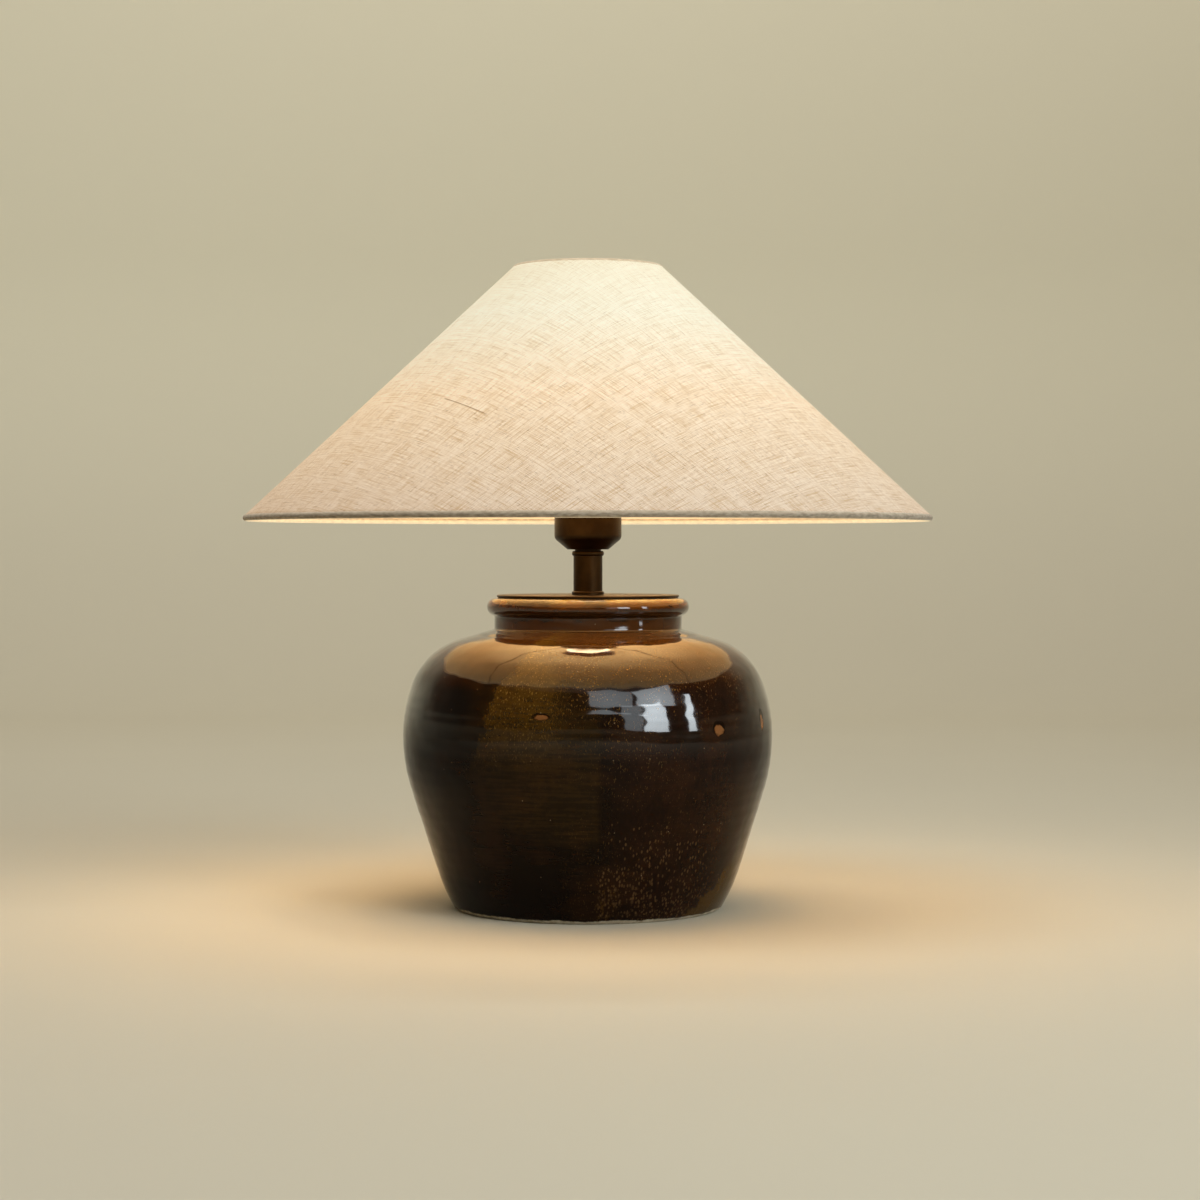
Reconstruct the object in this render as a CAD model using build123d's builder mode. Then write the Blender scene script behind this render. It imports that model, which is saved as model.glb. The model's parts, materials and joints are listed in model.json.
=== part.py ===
from build123d import *
from math import acos, atan2, cos, degrees, hypot, isclose, radians, sin, sqrt, tan
import os

# Jar table lamp: a glazed stoneware jar whose mouth is closed by a metal cap, a short stem with a
# lampholder in a cup, a screw-in bulb, and a wide conical linen shade clamped between two rings.
# Millimetres, +Z up, origin on the ground at the centre of the jar's foot, front towards -Y.

# Jar: outer profile, from the widest point of the belly down to the foot and up to the lip
BELLY_RADIUS = 134.4
BELLY_HEIGHT = 127.0
LOWER_BELLY_ARC = 136.0
WALL_LEAN = 17.4
FOOT_ARC = 125.0
FOOT_TURN = 14.4
UPPER_BELLY_ARC = 105.0
UPPER_BELLY_TURN = 21.0
SHOULDER_ARC = 52.0
SHOULDER_SLOPE = 16.0
SHOULDER_RUN = 24.8
NECK_LENGTH = 10.1
NECK_ROUND = 1.6
LIP_RADIUS = 6.4
LIP_OVERHANG = 5.4

# Jar: wall, base and edges
JAR_WALL = 8.0
BASE_THICKNESS = 9.0
FOOT_RING_WIDTH = 13.0
FOOT_RECESS = 4.0
FOOT_EDGE = 1.6
MOUTH_EDGE = 1.0

# Cord grommet in the back of the jar
CORD_BORE_RADIUS = 3.4
CORD_HOLE_RISE = 10.6
GROMMET_WALL = 2.6
GROMMET_OVERHANG = 2.6
GROMMET_FLANGE = 2.4
GROMMET_EDGE = 1.2
GROMMET_INNER_LIP = 2.0
GROMMET_INNER_OVERHANG = 1.4

# Cap on the jar's mouth
CAP_INSET = 0.9
CAP_THICKNESS = 1.6
CAP_EDGE = 0.4
CAP_SKIRT_DEPTH = 9.0
CAP_SKIRT_WALL = 1.5
CAP_PLAY = 1.5
FELT_THICKNESS = 0.6
FELT_INSET = 0.8

# Threaded tube, and the bar that clamps the cap to the jar
TUBE_RADIUS = 5.0
TUBE_WALL = 1.4
TUBE_TAIL = 12.0
BAR_REACH = 11.6
BAR_WIDTH = 24.0
BAR_THICKNESS = 4.0
PAD_LENGTH = 9.0
PAD_LEAST = 3.0
WASHER_WIDTH = 6.0
WASHER_THICKNESS = 2.0
NUT_WALL = 3.4
NUT_HEIGHT = 8.0
BUSH_WALL = 1.9
BUSH_LENGTH = 10.0
BUSH_LIP = 1.6
BUSH_EDGE = 0.5

# Stem between the cap and the cup
STEM_RADIUS = 10.6
STEM_WALL = 1.5
STEM_LENGTH = 25.7
LOWER_COLLAR_OVERHANG = 1.2
LOWER_COLLAR_HEIGHT = 2.6
LOWER_COLLAR_EDGE = 0.8
UPPER_COLLAR_OVERHANG = 1.1
UPPER_COLLAR_BEAD = 3.8
UPPER_COLLAR_EDGE = 1.5
UPPER_COLLAR_NECK = 1.0
UPPER_COLLAR_NECK_INSET = 1.0

# Bulb with a screw cap
BULB_TIP_RADIUS = 4.5
BULB_TIP_HEIGHT = 2.4
BULB_TIP_EDGE = 1.2
BULB_INSULATOR_HEIGHT = 4.4
BULB_CAP_RADIUS = 13.1
BULB_CAP_WALL = 0.8
BULB_THREAD_PITCH = 3.629
BULB_THREAD_TURNS = 5
BULB_THREAD_DEPTH = 1.0
BULB_CAP_COLLAR = 3.2
BULB_NECK_OVERHANG = 1.5
BULB_NECK_RISE = 2.0
BULB_HOUSING_HEIGHT = 37.0
BULB_HOUSING_FLARE = 75.0
BULB_RADIUS = 30.0
BULB_WALL = 1.4
GLOBE_CENTRE_RISE = 4.0
BOARD_INSET = 2.6
BOARD_LEDGE = 3.0
BOARD_DROP = 4.0
BOARD_THICKNESS = 1.6
CHIP_COUNT = 12
CHIP_INSET = 8.5
CHIP_SIZE = 3.0
CHIP_HEIGHT = 0.8

# Lampholder, sized from the bulb's cap outwards
SHELL_WALL = 0.6
SHELL_LENGTH = 26.0
SHELL_SEAT = 6.0
INSERT_WALL = 1.7
INSERT_FLANGE = 4.0
INSERT_FLOOR = 6.0
SPIGOT_WALL = 1.7
SPIGOT_LENGTH = 6.0
SKIRT_WALL = 3.3
SKIRT_COVER = 1.2
SKIRT_FLANGE = 3.0
SKIRT_FLANGE_OVERHANG = 1.5
SKIRT_THREAD_PITCH = 2.5
SKIRT_THREAD_DEPTH = 0.7
HOLDER_WALL = 2.0
HOLDER_FLOOR = 6.0
HOLDER_LEDGE = 4.0
TERMINAL_ROOM = 8.0
CONTACT_RADIUS = 5.0
CONTACT_HEIGHT = 2.5
CONTACT_EDGE = 0.8
TERMINAL_RADIUS = 2.4
TERMINAL_HEIGHT = 4.6
TERMINAL_INSET = 3.5
TERMINAL_SLOT = 0.8
GRUB_RADIUS = 1.6
GRUB_LENGTH = 8.0
GRUB_SOCKET_RADIUS = 0.8
GRUB_SOCKET_DEPTH = 3.0

# Cup round the lampholder
CUP_ROOM = 3.1
CUP_WALL = 1.5
CUP_CHAMFER_RUN = 9.6
CUP_CHAMFER_RISE = 8.0
CUP_COVER = 1.3
CUP_ROUND = 5.0
CUP_FOOT_ROUND = 1.2
HOLDER_FOOT_INSET = 1.8

# Shade, its wire frame and the rings that clamp it
SHADE_BOTTOM_RADIUS = 250.0
SHADE_TOP_RADIUS = 55.0
SHADE_HEIGHT = 186.6
SHADE_SHEET = 0.8
RING_WIRE_RADIUS = 1.2
HEM_CLOTH = 0.4
ARM_RADIUS = 1.5
ARM_COUNT = 3
FITTER_DROP = 20.2
FITTER_THICKNESS = 2.5
FITTER_OVERHANG = 4.0
SHADE_RING_WIDTH = 7.2
SHADE_RING_HEIGHT = 6.0
SHADE_RING_GRIPS = 24
SHADE_RING_GRIP_RADIUS = 1.0
SHADE_RING_EDGE = 0.8

# Clearances
SCREW_CLEARANCE = 0.1
SLIP_CLEARANCE = 0.2
RUNNING_CLEARANCE = 0.3
FITTER_CLEARANCE = 0.8
SHEET_CLEARANCE = 0.05

# Jar's side: a foot arc, a straight wall, two belly arcs, a shoulder arc and a straight slope, all
# tangent
wall_lean = radians(WALL_LEAN)
foot_lean = radians(WALL_LEAN + FOOT_TURN)
belly_turn = radians(UPPER_BELLY_TURN)
slope = radians(SHOULDER_SLOPE)
lower_centre = (BELLY_RADIUS - LOWER_BELLY_ARC, BELLY_HEIGHT)
upper_centre = (BELLY_RADIUS - UPPER_BELLY_ARC, BELLY_HEIGHT)
shoulder_centre = (
    upper_centre[0] + (UPPER_BELLY_ARC - SHOULDER_ARC) * cos(belly_turn),
    upper_centre[1] + (UPPER_BELLY_ARC - SHOULDER_ARC) * sin(belly_turn),
)


def on_arc(centre, radius, turn):
    """The point of a profile arc at a turn from the horizontal."""
    return (centre[0] + radius * cos(turn), centre[1] + radius * sin(turn))


def wall_radius(height, inset=0.0):
    """Radius of the jar's straight lower wall at a height, at a depth inside its outer face."""
    tangent = on_arc(lower_centre, LOWER_BELLY_ARC - inset, -wall_lean)
    return tangent[0] - (tangent[1] - height) * tan(wall_lean)


def shoulder_end(inset=0.0):
    """The point where the shoulder's arc runs into the straight slope below the neck."""
    return on_arc(shoulder_centre, SHOULDER_ARC - inset, radians(90) - slope)


def shoulder_height(radius, inset=0.0):
    """Height of the straight slope below the neck, at a depth inside its outer face."""
    end = shoulder_end(inset)
    return end[1] + (end[0] - radius) * tan(slope)


def jar_side(wall_bottom, neck_radius, inset=0.0):
    """Draws the jar's side from a height on its wall to the neck, at a depth inside its outer face."""
    wall_foot = (wall_radius(wall_bottom, inset), wall_bottom)
    Line(wall_foot, on_arc(lower_centre, LOWER_BELLY_ARC - inset, -wall_lean))
    CenterArc(lower_centre, LOWER_BELLY_ARC - inset, -WALL_LEAN, WALL_LEAN)
    CenterArc(upper_centre, UPPER_BELLY_ARC - inset, 0, UPPER_BELLY_TURN)
    shoulder_sweep = 90 - SHOULDER_SLOPE - UPPER_BELLY_TURN
    CenterArc(shoulder_centre, SHOULDER_ARC - inset, UPPER_BELLY_TURN, shoulder_sweep)
    Line(shoulder_end(inset), (neck_radius, shoulder_height(neck_radius, inset)))


def ridges(start, pitch, turns, crest, depth):
    """Points of a rolled thread's outline, as rings a pitch apart, upwards from a height."""
    points = []
    for turn in range(turns):
        base = start + turn * pitch
        points += [(crest - depth, base), (crest, base + pitch / 3), (crest, base + pitch * 2 / 3)]
    points.append((crest - depth, start + turns * pitch))
    return points


# Radii of the jar and its cap
foot_rise = FOOT_ARC * (sin(foot_lean) - sin(wall_lean))
foot_centre = (wall_radius(foot_rise) - FOOT_ARC * cos(wall_lean), FOOT_ARC * sin(foot_lean))
foot_radius = foot_centre[0] + FOOT_ARC * cos(foot_lean)
neck_radius = shoulder_end()[0] - SHOULDER_RUN
mouth_radius = neck_radius - JAR_WALL
lip_centre_radius = neck_radius + LIP_OVERHANG - LIP_RADIUS
cap_radius = lip_centre_radius - CAP_INSET

# Radii of the lampholder, from the bulb's cap outwards
shell_bore = BULB_CAP_RADIUS + RUNNING_CLEARANCE
shell_radius = shell_bore + SHELL_WALL
insert_radius = shell_radius + SLIP_CLEARANCE + INSERT_WALL
skirt_bore = insert_radius + SLIP_CLEARANCE
spigot_radius = skirt_bore + SPIGOT_WALL
holder_bore = spigot_radius + SCREW_CLEARANCE
holder_radius = holder_bore + HOLDER_WALL
terminal_room_radius = holder_bore - HOLDER_LEDGE
cup_radius = holder_radius + CUP_ROOM + CUP_WALL
cup_foot_radius = cup_radius - CUP_CHAMFER_RUN
thread_radius = skirt_bore + SKIRT_WALL
shade_ring_bore = thread_radius + RUNNING_CLEARANCE
shade_ring_radius = shade_ring_bore + SHADE_RING_WIDTH
fitter_radius = shade_ring_radius + FITTER_OVERHANG

# Heights, from the ground up
floor_height = FOOT_RECESS + BASE_THICKNESS
neck_foot = shoulder_height(neck_radius)
lip_start = -acos((LIP_RADIUS - LIP_OVERHANG) / LIP_RADIUS)
lip_centre = (lip_centre_radius, neck_foot + NECK_LENGTH - LIP_RADIUS * sin(lip_start))
rim_top = lip_centre[1] + LIP_RADIUS
cap_bottom = rim_top + FELT_THICKNESS
cap_top = cap_bottom + CAP_THICKNESS
stem_bottom = cap_top + LOWER_COLLAR_HEIGHT
stem_top = stem_bottom + STEM_LENGTH
collar_neck_bottom = stem_top + UPPER_COLLAR_BEAD
cup_bottom = collar_neck_bottom + UPPER_COLLAR_NECK
cup_floor = cup_bottom + CUP_WALL
tube_top = cup_floor + HOLDER_FLOOR
holder_ledge = tube_top + TERMINAL_ROOM
spigot_bottom = holder_ledge + INSERT_FLANGE
shell_bottom = spigot_bottom + INSERT_FLOOR
holder_top = spigot_bottom + SPIGOT_LENGTH
thread_bottom = holder_top + SKIRT_FLANGE
cup_top = thread_bottom + CUP_COVER
tip_bottom = shell_bottom + CONTACT_HEIGHT + SLIP_CLEARANCE
tip_top = tip_bottom + BULB_TIP_HEIGHT
bulb_cap_bottom = tip_top + BULB_INSULATOR_HEIGHT
bulb_thread_top = bulb_cap_bottom + BULB_THREAD_TURNS * BULB_THREAD_PITCH
bulb_cap_top = bulb_thread_top + BULB_CAP_COLLAR
skirt_top = bulb_cap_top + SKIRT_COVER
bulb_neck_top = skirt_top + BULB_NECK_RISE
globe_bottom = bulb_neck_top + BULB_HOUSING_HEIGHT
board_bottom = globe_bottom - BOARD_DROP
fitter_middle = (thread_bottom + skirt_top) / 2
fitter_bottom = fitter_middle - FITTER_THICKNESS / 2
fitter_top = fitter_middle + FITTER_THICKNESS / 2

# Shade's edges: a bead of wire, sheet and cloth, with the sheet on the outer side of both wires
hem_radius = RING_WIRE_RADIUS + SHADE_SHEET + 2 * SHEET_CLEARANCE + HEM_CLOTH
hem_centre = (SHADE_BOTTOM_RADIUS - hem_radius, fitter_middle - FITTER_DROP)
crown_centre = (SHADE_TOP_RADIUS - hem_radius, hem_centre[1] + SHADE_HEIGHT - 2 * hem_radius)
slant = hypot(hem_centre[0] - crown_centre[0], crown_centre[1] - hem_centre[1])
slant_turn = atan2(crown_centre[1] - hem_centre[1], crown_centre[0] - hem_centre[0])
sheet_offset = RING_WIRE_RADIUS + SHEET_CLEARANCE + SHADE_SHEET / 2
sheet_middle = (
    (hem_centre[0] + crown_centre[0]) / 2 + sheet_offset * sin(slant_turn),
    (hem_centre[1] + crown_centre[1]) / 2 - sheet_offset * cos(slant_turn),
)

# Cord hole: square to the jar's back wall, just above the curve into the foot
cord_height = foot_rise + CORD_HOLE_RISE
grommet_radius = CORD_BORE_RADIUS + GROMMET_WALL
cord_plane = Plane(
    origin=(0, wall_radius(cord_height), cord_height),
    x_dir=(1, 0, 0),
    z_dir=(0, cos(wall_lean), -sin(wall_lean)),
)
cord_axis = Axis(cord_plane.origin, cord_plane.z_dir)

# Jar: one thrown and glazed shell with a rolled lip, a foot ring and a drilled cord hole
with BuildPart() as jar:
    with BuildSketch(Plane.XZ):
        with BuildLine():
            CenterArc(foot_centre, FOOT_ARC, -WALL_LEAN - FOOT_TURN, FOOT_TURN)
            jar_side(foot_rise, neck_radius)
            Line((neck_radius, neck_foot), on_arc(lip_centre, LIP_RADIUS, lip_start))
            CenterArc(lip_centre, LIP_RADIUS, degrees(lip_start), 90 - degrees(lip_start))
            Polyline((lip_centre[0], rim_top), (0, rim_top), (0, 0), (foot_radius, 0))
        make_face()
    revolve(axis=Axis.Z)
    neck_edges = jar.edges().filter_by(GeomType.CIRCLE).filter_by(lambda e: isclose(e.radius, neck_radius))
    fillet(neck_edges, NECK_ROUND)
    with BuildSketch(Plane.XZ):
        with BuildLine():
            jar_side(floor_height, mouth_radius, JAR_WALL)
            Polyline(
                (mouth_radius, shoulder_height(mouth_radius, JAR_WALL)),
                (mouth_radius, rim_top),
                (0, rim_top),
                (0, floor_height),
                (wall_radius(floor_height, JAR_WALL), floor_height),
            )
        make_face()
    revolve(axis=Axis.Z, mode=Mode.SUBTRACT)
    with BuildSketch(Plane.XY):
        Circle(foot_radius - FOOT_RING_WIDTH)
    extrude(amount=FOOT_RECESS, mode=Mode.SUBTRACT)
    chamfer(jar.edges().filter_by(GeomType.CIRCLE).group_by(Axis.Z)[0], FOOT_EDGE)
    rim_edges = jar.edges().filter_by(GeomType.CIRCLE).group_by(Axis.Z)[-1]
    fillet(rim_edges.sort_by(SortBy.RADIUS)[0], MOUTH_EDGE)
    with BuildSketch(cord_plane.offset(GROMMET_FLANGE)):
        Circle(grommet_radius + SCREW_CLEARANCE)
    extrude(amount=-(JAR_WALL + 2 * GROMMET_FLANGE), mode=Mode.SUBTRACT)

# Cord grommet: a rubber bush snapped into the drilled hole, with a flange on each side of the wall
with BuildPart() as cord_grommet:
    with BuildSketch(cord_plane.offset(-GROMMET_FLANGE)):
        Circle(grommet_radius + GROMMET_OVERHANG)
    extrude(amount=2 * GROMMET_FLANGE)
    fillet(cord_grommet.edges().filter_by(GeomType.CIRCLE).sort_by(cord_axis)[-1], GROMMET_EDGE)
    with BuildSketch(cord_plane):
        Circle(grommet_radius)
    extrude(amount=-(JAR_WALL + GROMMET_INNER_LIP))
    with BuildSketch(cord_plane.offset(-JAR_WALL - GROMMET_INNER_LIP)):
        Circle(grommet_radius + GROMMET_INNER_OVERHANG)
    extrude(amount=2 * GROMMET_INNER_LIP)
    add(jar.part, mode=Mode.SUBTRACT)
    with BuildSketch(cord_plane.offset(GROMMET_FLANGE)):
        Circle(CORD_BORE_RADIUS)
    extrude(amount=-(JAR_WALL + GROMMET_FLANGE + GROMMET_INNER_LIP), mode=Mode.SUBTRACT)

# Felt ring between the cap and the glazed lip
with BuildPart() as cap_felt_ring:
    with BuildSketch(Plane.XY.offset(rim_top)):
        Circle(cap_radius - FELT_INSET)
        Circle(mouth_radius + MOUTH_EDGE, mode=Mode.SUBTRACT)
    extrude(amount=FELT_THICKNESS)

# Cap plate: a metal disc with a turned-down skirt that keeps it central in the mouth
with BuildPart() as cap_plate:
    with BuildSketch(Plane.XY.offset(cap_bottom)):
        Circle(cap_radius)
    extrude(amount=CAP_THICKNESS)
    chamfer(cap_plate.edges().filter_by(GeomType.CIRCLE), CAP_EDGE)
    with BuildSketch(Plane.XY.offset(cap_bottom)):
        Circle(mouth_radius - CAP_PLAY)
        Circle(mouth_radius - CAP_PLAY - CAP_SKIRT_WALL, mode=Mode.SUBTRACT)
    extrude(amount=-CAP_SKIRT_DEPTH)
    with BuildSketch(Plane.XY.offset(cap_bottom)):
        Circle(TUBE_RADIUS + SLIP_CLEARANCE)
    extrude(amount=CAP_THICKNESS, mode=Mode.SUBTRACT)

# Clamp bar: a flat steel strip inside the jar, pulled up under the shoulder on two rubber pads
bar_half_length = mouth_radius + BAR_REACH
bar_top = shoulder_height(bar_half_length, JAR_WALL) - PAD_LEAST
bar_bottom = bar_top - BAR_THICKNESS
with BuildPart() as clamp_bar:
    with BuildSketch(Plane.XY.offset(bar_bottom)):
        SlotOverall(2 * bar_half_length, BAR_WIDTH)
        Circle(TUBE_RADIUS + SLIP_CLEARANCE, mode=Mode.SUBTRACT)
    extrude(amount=BAR_THICKNESS)

pad_middle = bar_half_length - BAR_WIDTH / 2
pad_inner = pad_middle - PAD_LENGTH / 2
with BuildPart() as clamp_pads:
    with BuildSketch(Plane.XY.offset(bar_top)):
        with Locations((pad_middle, 0), (-pad_middle, 0)):
            Rectangle(PAD_LENGTH, BAR_WIDTH)
    extrude(amount=shoulder_height(pad_inner, JAR_WALL / 2) - bar_top)
    add(jar.part, mode=Mode.SUBTRACT)

# Washer and nut that draw the bar up
washer_bottom = bar_bottom - WASHER_THICKNESS
with BuildPart() as clamp_washer:
    with BuildSketch(Plane.XY.offset(washer_bottom)):
        Circle(TUBE_RADIUS + WASHER_WIDTH)
        Circle(TUBE_RADIUS + SLIP_CLEARANCE, mode=Mode.SUBTRACT)
    extrude(amount=WASHER_THICKNESS)

nut_bottom = washer_bottom - NUT_HEIGHT
with BuildPart() as clamp_nut:
    with BuildSketch(Plane.XY.offset(nut_bottom)):
        RegularPolygon(TUBE_RADIUS + SCREW_CLEARANCE + NUT_WALL, 6, major_radius=False)
        Circle(TUBE_RADIUS + SCREW_CLEARANCE, mode=Mode.SUBTRACT)
    extrude(amount=NUT_HEIGHT)

# Threaded tube: the hollow rod that ties lampholder, stem, cap and clamp bar together
tube_bottom = nut_bottom - TUBE_TAIL
with BuildPart() as threaded_tube:
    with BuildSketch(Plane.XY.offset(tube_bottom)):
        Circle(TUBE_RADIUS)
        Circle(TUBE_RADIUS - TUBE_WALL, mode=Mode.SUBTRACT)
    extrude(amount=tube_top - tube_bottom)

# Bush on the tube's lower end, which covers the cut edge
with BuildPart() as tube_end_bush:
    with BuildSketch(Plane.XY.offset(tube_bottom - BUSH_LIP)):
        Circle(TUBE_RADIUS + SCREW_CLEARANCE + BUSH_WALL)
    extrude(amount=BUSH_LENGTH)
    with BuildSketch(Plane.XY.offset(tube_bottom)):
        Circle(TUBE_RADIUS + SCREW_CLEARANCE)
    extrude(amount=BUSH_LENGTH, mode=Mode.SUBTRACT)
    with BuildSketch(Plane.XY.offset(tube_bottom - BUSH_LIP)):
        Circle(TUBE_RADIUS - TUBE_WALL)
    extrude(amount=BUSH_LIP, mode=Mode.SUBTRACT)
    fillet(tube_end_bush.edges().group_by(Axis.Z)[0], BUSH_EDGE)

# Stem: a plain tube between two turned collars
with BuildPart() as stem_lower_collar:
    with BuildSketch(Plane.XY.offset(cap_top)):
        Circle(STEM_RADIUS + LOWER_COLLAR_OVERHANG)
    extrude(amount=LOWER_COLLAR_HEIGHT)
    fillet(stem_lower_collar.edges().group_by(Axis.Z)[-1], LOWER_COLLAR_EDGE)
    with BuildSketch(Plane.XY.offset(cap_top)):
        Circle(TUBE_RADIUS + SLIP_CLEARANCE)
    extrude(amount=LOWER_COLLAR_HEIGHT, mode=Mode.SUBTRACT)

with BuildPart() as stem_tube:
    with BuildSketch(Plane.XY.offset(stem_bottom)):
        Circle(STEM_RADIUS)
        Circle(STEM_RADIUS - STEM_WALL, mode=Mode.SUBTRACT)
    extrude(amount=STEM_LENGTH)

with BuildPart() as stem_upper_collar:
    with BuildSketch(Plane.XY.offset(stem_top)):
        Circle(STEM_RADIUS + UPPER_COLLAR_OVERHANG)
    extrude(amount=UPPER_COLLAR_BEAD)
    fillet(stem_upper_collar.edges().filter_by(GeomType.CIRCLE), UPPER_COLLAR_EDGE)
    with BuildSketch(Plane.XY.offset(collar_neck_bottom)):
        Circle(STEM_RADIUS - UPPER_COLLAR_NECK_INSET)
    extrude(amount=UPPER_COLLAR_NECK)
    with BuildSketch(Plane.XY.offset(stem_top)):
        Circle(TUBE_RADIUS + SLIP_CLEARANCE)
    extrude(amount=cup_bottom - stem_top, mode=Mode.SUBTRACT)

# Cup: a spun metal bowl with a chamfered foot that hides the lampholder
with BuildPart() as socket_cup:
    with BuildSketch(Plane.XZ):
        with BuildLine():
            Polyline(
                (0, cup_bottom),
                (cup_foot_radius, cup_bottom),
                (cup_radius, cup_bottom + CUP_CHAMFER_RISE),
                (cup_radius, cup_top),
                (0, cup_top),
                close=True,
            )
        make_face()
    revolve(axis=Axis.Z)
    cup_edges = socket_cup.edges().filter_by(GeomType.CIRCLE).sort_by(Axis.Z)
    fillet(cup_edges[1], CUP_ROUND)
    fillet(cup_edges[0], CUP_FOOT_ROUND)
    offset(amount=-CUP_WALL, openings=socket_cup.faces().sort_by(Axis.Z)[-1])
    with BuildSketch(Plane.XY.offset(cup_bottom)):
        Circle(TUBE_RADIUS + SLIP_CLEARANCE)
    extrude(amount=CUP_WALL, mode=Mode.SUBTRACT)

# Lampholder base: screwed on the tube's top end and locked by a grub screw
holder_foot_radius = cup_foot_radius - HOLDER_FOOT_INSET
holder_foot_rise = (holder_radius - holder_foot_radius) * CUP_CHAMFER_RISE / CUP_CHAMFER_RUN
grub_height = cup_floor + HOLDER_FLOOR / 2
with BuildPart() as lampholder_base:
    with BuildSketch(Plane.XZ):
        with BuildLine():
            Polyline(
                (TUBE_RADIUS + SCREW_CLEARANCE, cup_floor),
                (holder_foot_radius, cup_floor),
                (holder_radius, cup_floor + holder_foot_rise),
                (holder_radius, holder_top),
                (holder_bore, holder_top),
                (holder_bore, holder_ledge),
                (terminal_room_radius, holder_ledge),
                (terminal_room_radius, tube_top),
                (TUBE_RADIUS + SCREW_CLEARANCE, tube_top),
                close=True,
            )
        make_face()
    revolve(axis=Axis.Z)
    with BuildSketch(Plane.YZ):
        with Locations((0, grub_height)):
            Circle(GRUB_RADIUS + SCREW_CLEARANCE)
    extrude(amount=holder_radius, mode=Mode.SUBTRACT)

grub_start = TUBE_RADIUS + SCREW_CLEARANCE
with BuildPart() as grub_screw:
    with BuildSketch(Plane.YZ.offset(grub_start)):
        with Locations((0, grub_height)):
            Circle(GRUB_RADIUS)
    extrude(amount=GRUB_LENGTH)
    with BuildSketch(Plane.YZ.offset(grub_start + GRUB_LENGTH)):
        with Locations((0, grub_height)):
            RegularPolygon(GRUB_SOCKET_RADIUS, 6)
    extrude(amount=-GRUB_SOCKET_DEPTH, mode=Mode.SUBTRACT)

# Porcelain insert: carries the contacts and the screw shell
with BuildPart() as lampholder_insert:
    with BuildSketch(Plane.XY.offset(holder_ledge)):
        Circle(holder_bore - SLIP_CLEARANCE)
    extrude(amount=INSERT_FLANGE)
    with BuildSketch(Plane.XY.offset(spigot_bottom)):
        Circle(insert_radius)
    extrude(amount=INSERT_FLOOR + SHELL_SEAT)
    with BuildSketch(Plane.XY.offset(shell_bottom)):
        Circle(shell_radius + SLIP_CLEARANCE)
    extrude(amount=SHELL_SEAT, mode=Mode.SUBTRACT)

terminal_reach = terminal_room_radius - TERMINAL_INSET - TERMINAL_RADIUS
with BuildPart() as terminal_screws:
    with BuildSketch(Plane.XY.offset(holder_ledge)):
        with Locations((terminal_reach, 0), (-terminal_reach, 0)):
            Circle(TERMINAL_RADIUS)
    extrude(amount=-TERMINAL_HEIGHT)
    with BuildSketch(Plane.XY.offset(holder_ledge - TERMINAL_HEIGHT)):
        with Locations((terminal_reach, 0), (-terminal_reach, 0)):
            Rectangle(TERMINAL_SLOT, 2 * TERMINAL_RADIUS)
    extrude(amount=TERMINAL_SLOT, mode=Mode.SUBTRACT)

with BuildPart() as screw_shell:
    with BuildSketch(Plane.XY.offset(shell_bottom)):
        Circle(shell_radius)
        Circle(shell_bore, mode=Mode.SUBTRACT)
    extrude(amount=SHELL_LENGTH)

with BuildPart() as centre_contact:
    with BuildSketch(Plane.XY.offset(shell_bottom)):
        Circle(CONTACT_RADIUS)
    extrude(amount=CONTACT_HEIGHT)
    chamfer(centre_contact.edges().group_by(Axis.Z)[-1], CONTACT_EDGE)

# Lampholder skirt: screwed into the base, with the outside thread that the shade rings run on
thread_turns = int((skirt_top - thread_bottom) / SKIRT_THREAD_PITCH) - 1
thread_margin = (skirt_top - thread_bottom - thread_turns * SKIRT_THREAD_PITCH) / 2
thread_start = thread_bottom + thread_margin
thread_root = thread_radius - SKIRT_THREAD_DEPTH
flange_radius = holder_radius + SKIRT_FLANGE_OVERHANG
with BuildPart() as lampholder_skirt:
    with BuildSketch(Plane.XZ):
        with BuildLine():
            Polyline(
                (skirt_bore, spigot_bottom),
                (spigot_radius, spigot_bottom),
                (spigot_radius, holder_top),
                (flange_radius, holder_top),
                (flange_radius, thread_bottom),
                (thread_root, thread_bottom),
                *ridges(thread_start, SKIRT_THREAD_PITCH, thread_turns, thread_radius, SKIRT_THREAD_DEPTH),
                (thread_root, skirt_top),
                (skirt_bore, skirt_top),
                close=True,
            )
        make_face()
    revolve(axis=Axis.Z)


def shade_ring(bottom):
    """One of the two ribbed rings that clamp the shade's fitter, from its underside up."""
    with BuildPart() as ring:
        with BuildSketch(Plane.XY.offset(bottom)):
            Circle(shade_ring_radius)
            with PolarLocations(shade_ring_radius, SHADE_RING_GRIPS):
                Circle(SHADE_RING_GRIP_RADIUS, mode=Mode.SUBTRACT)
            Circle(shade_ring_bore, mode=Mode.SUBTRACT)
        extrude(amount=SHADE_RING_HEIGHT)
        bore_edges = ring.edges().filter_by(GeomType.CIRCLE)
        chamfer(bore_edges.filter_by(lambda e: isclose(e.radius, shade_ring_bore)), SHADE_RING_EDGE)
    return ring


# Shade rings: one under the fitter sets the shade's height, one over it clamps
lower_shade_ring = shade_ring(fitter_bottom - SLIP_CLEARANCE - SHADE_RING_HEIGHT)
upper_shade_ring = shade_ring(fitter_top + SLIP_CLEARANCE)

# Bulb: contact tip, insulator, screw cap, housing, light board and opal globe
with BuildPart() as bulb_contact:
    with BuildSketch(Plane.XY.offset(tip_bottom)):
        Circle(BULB_TIP_RADIUS)
    extrude(amount=BULB_TIP_HEIGHT)
    fillet(bulb_contact.edges().group_by(Axis.Z)[0], BULB_TIP_EDGE)

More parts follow.
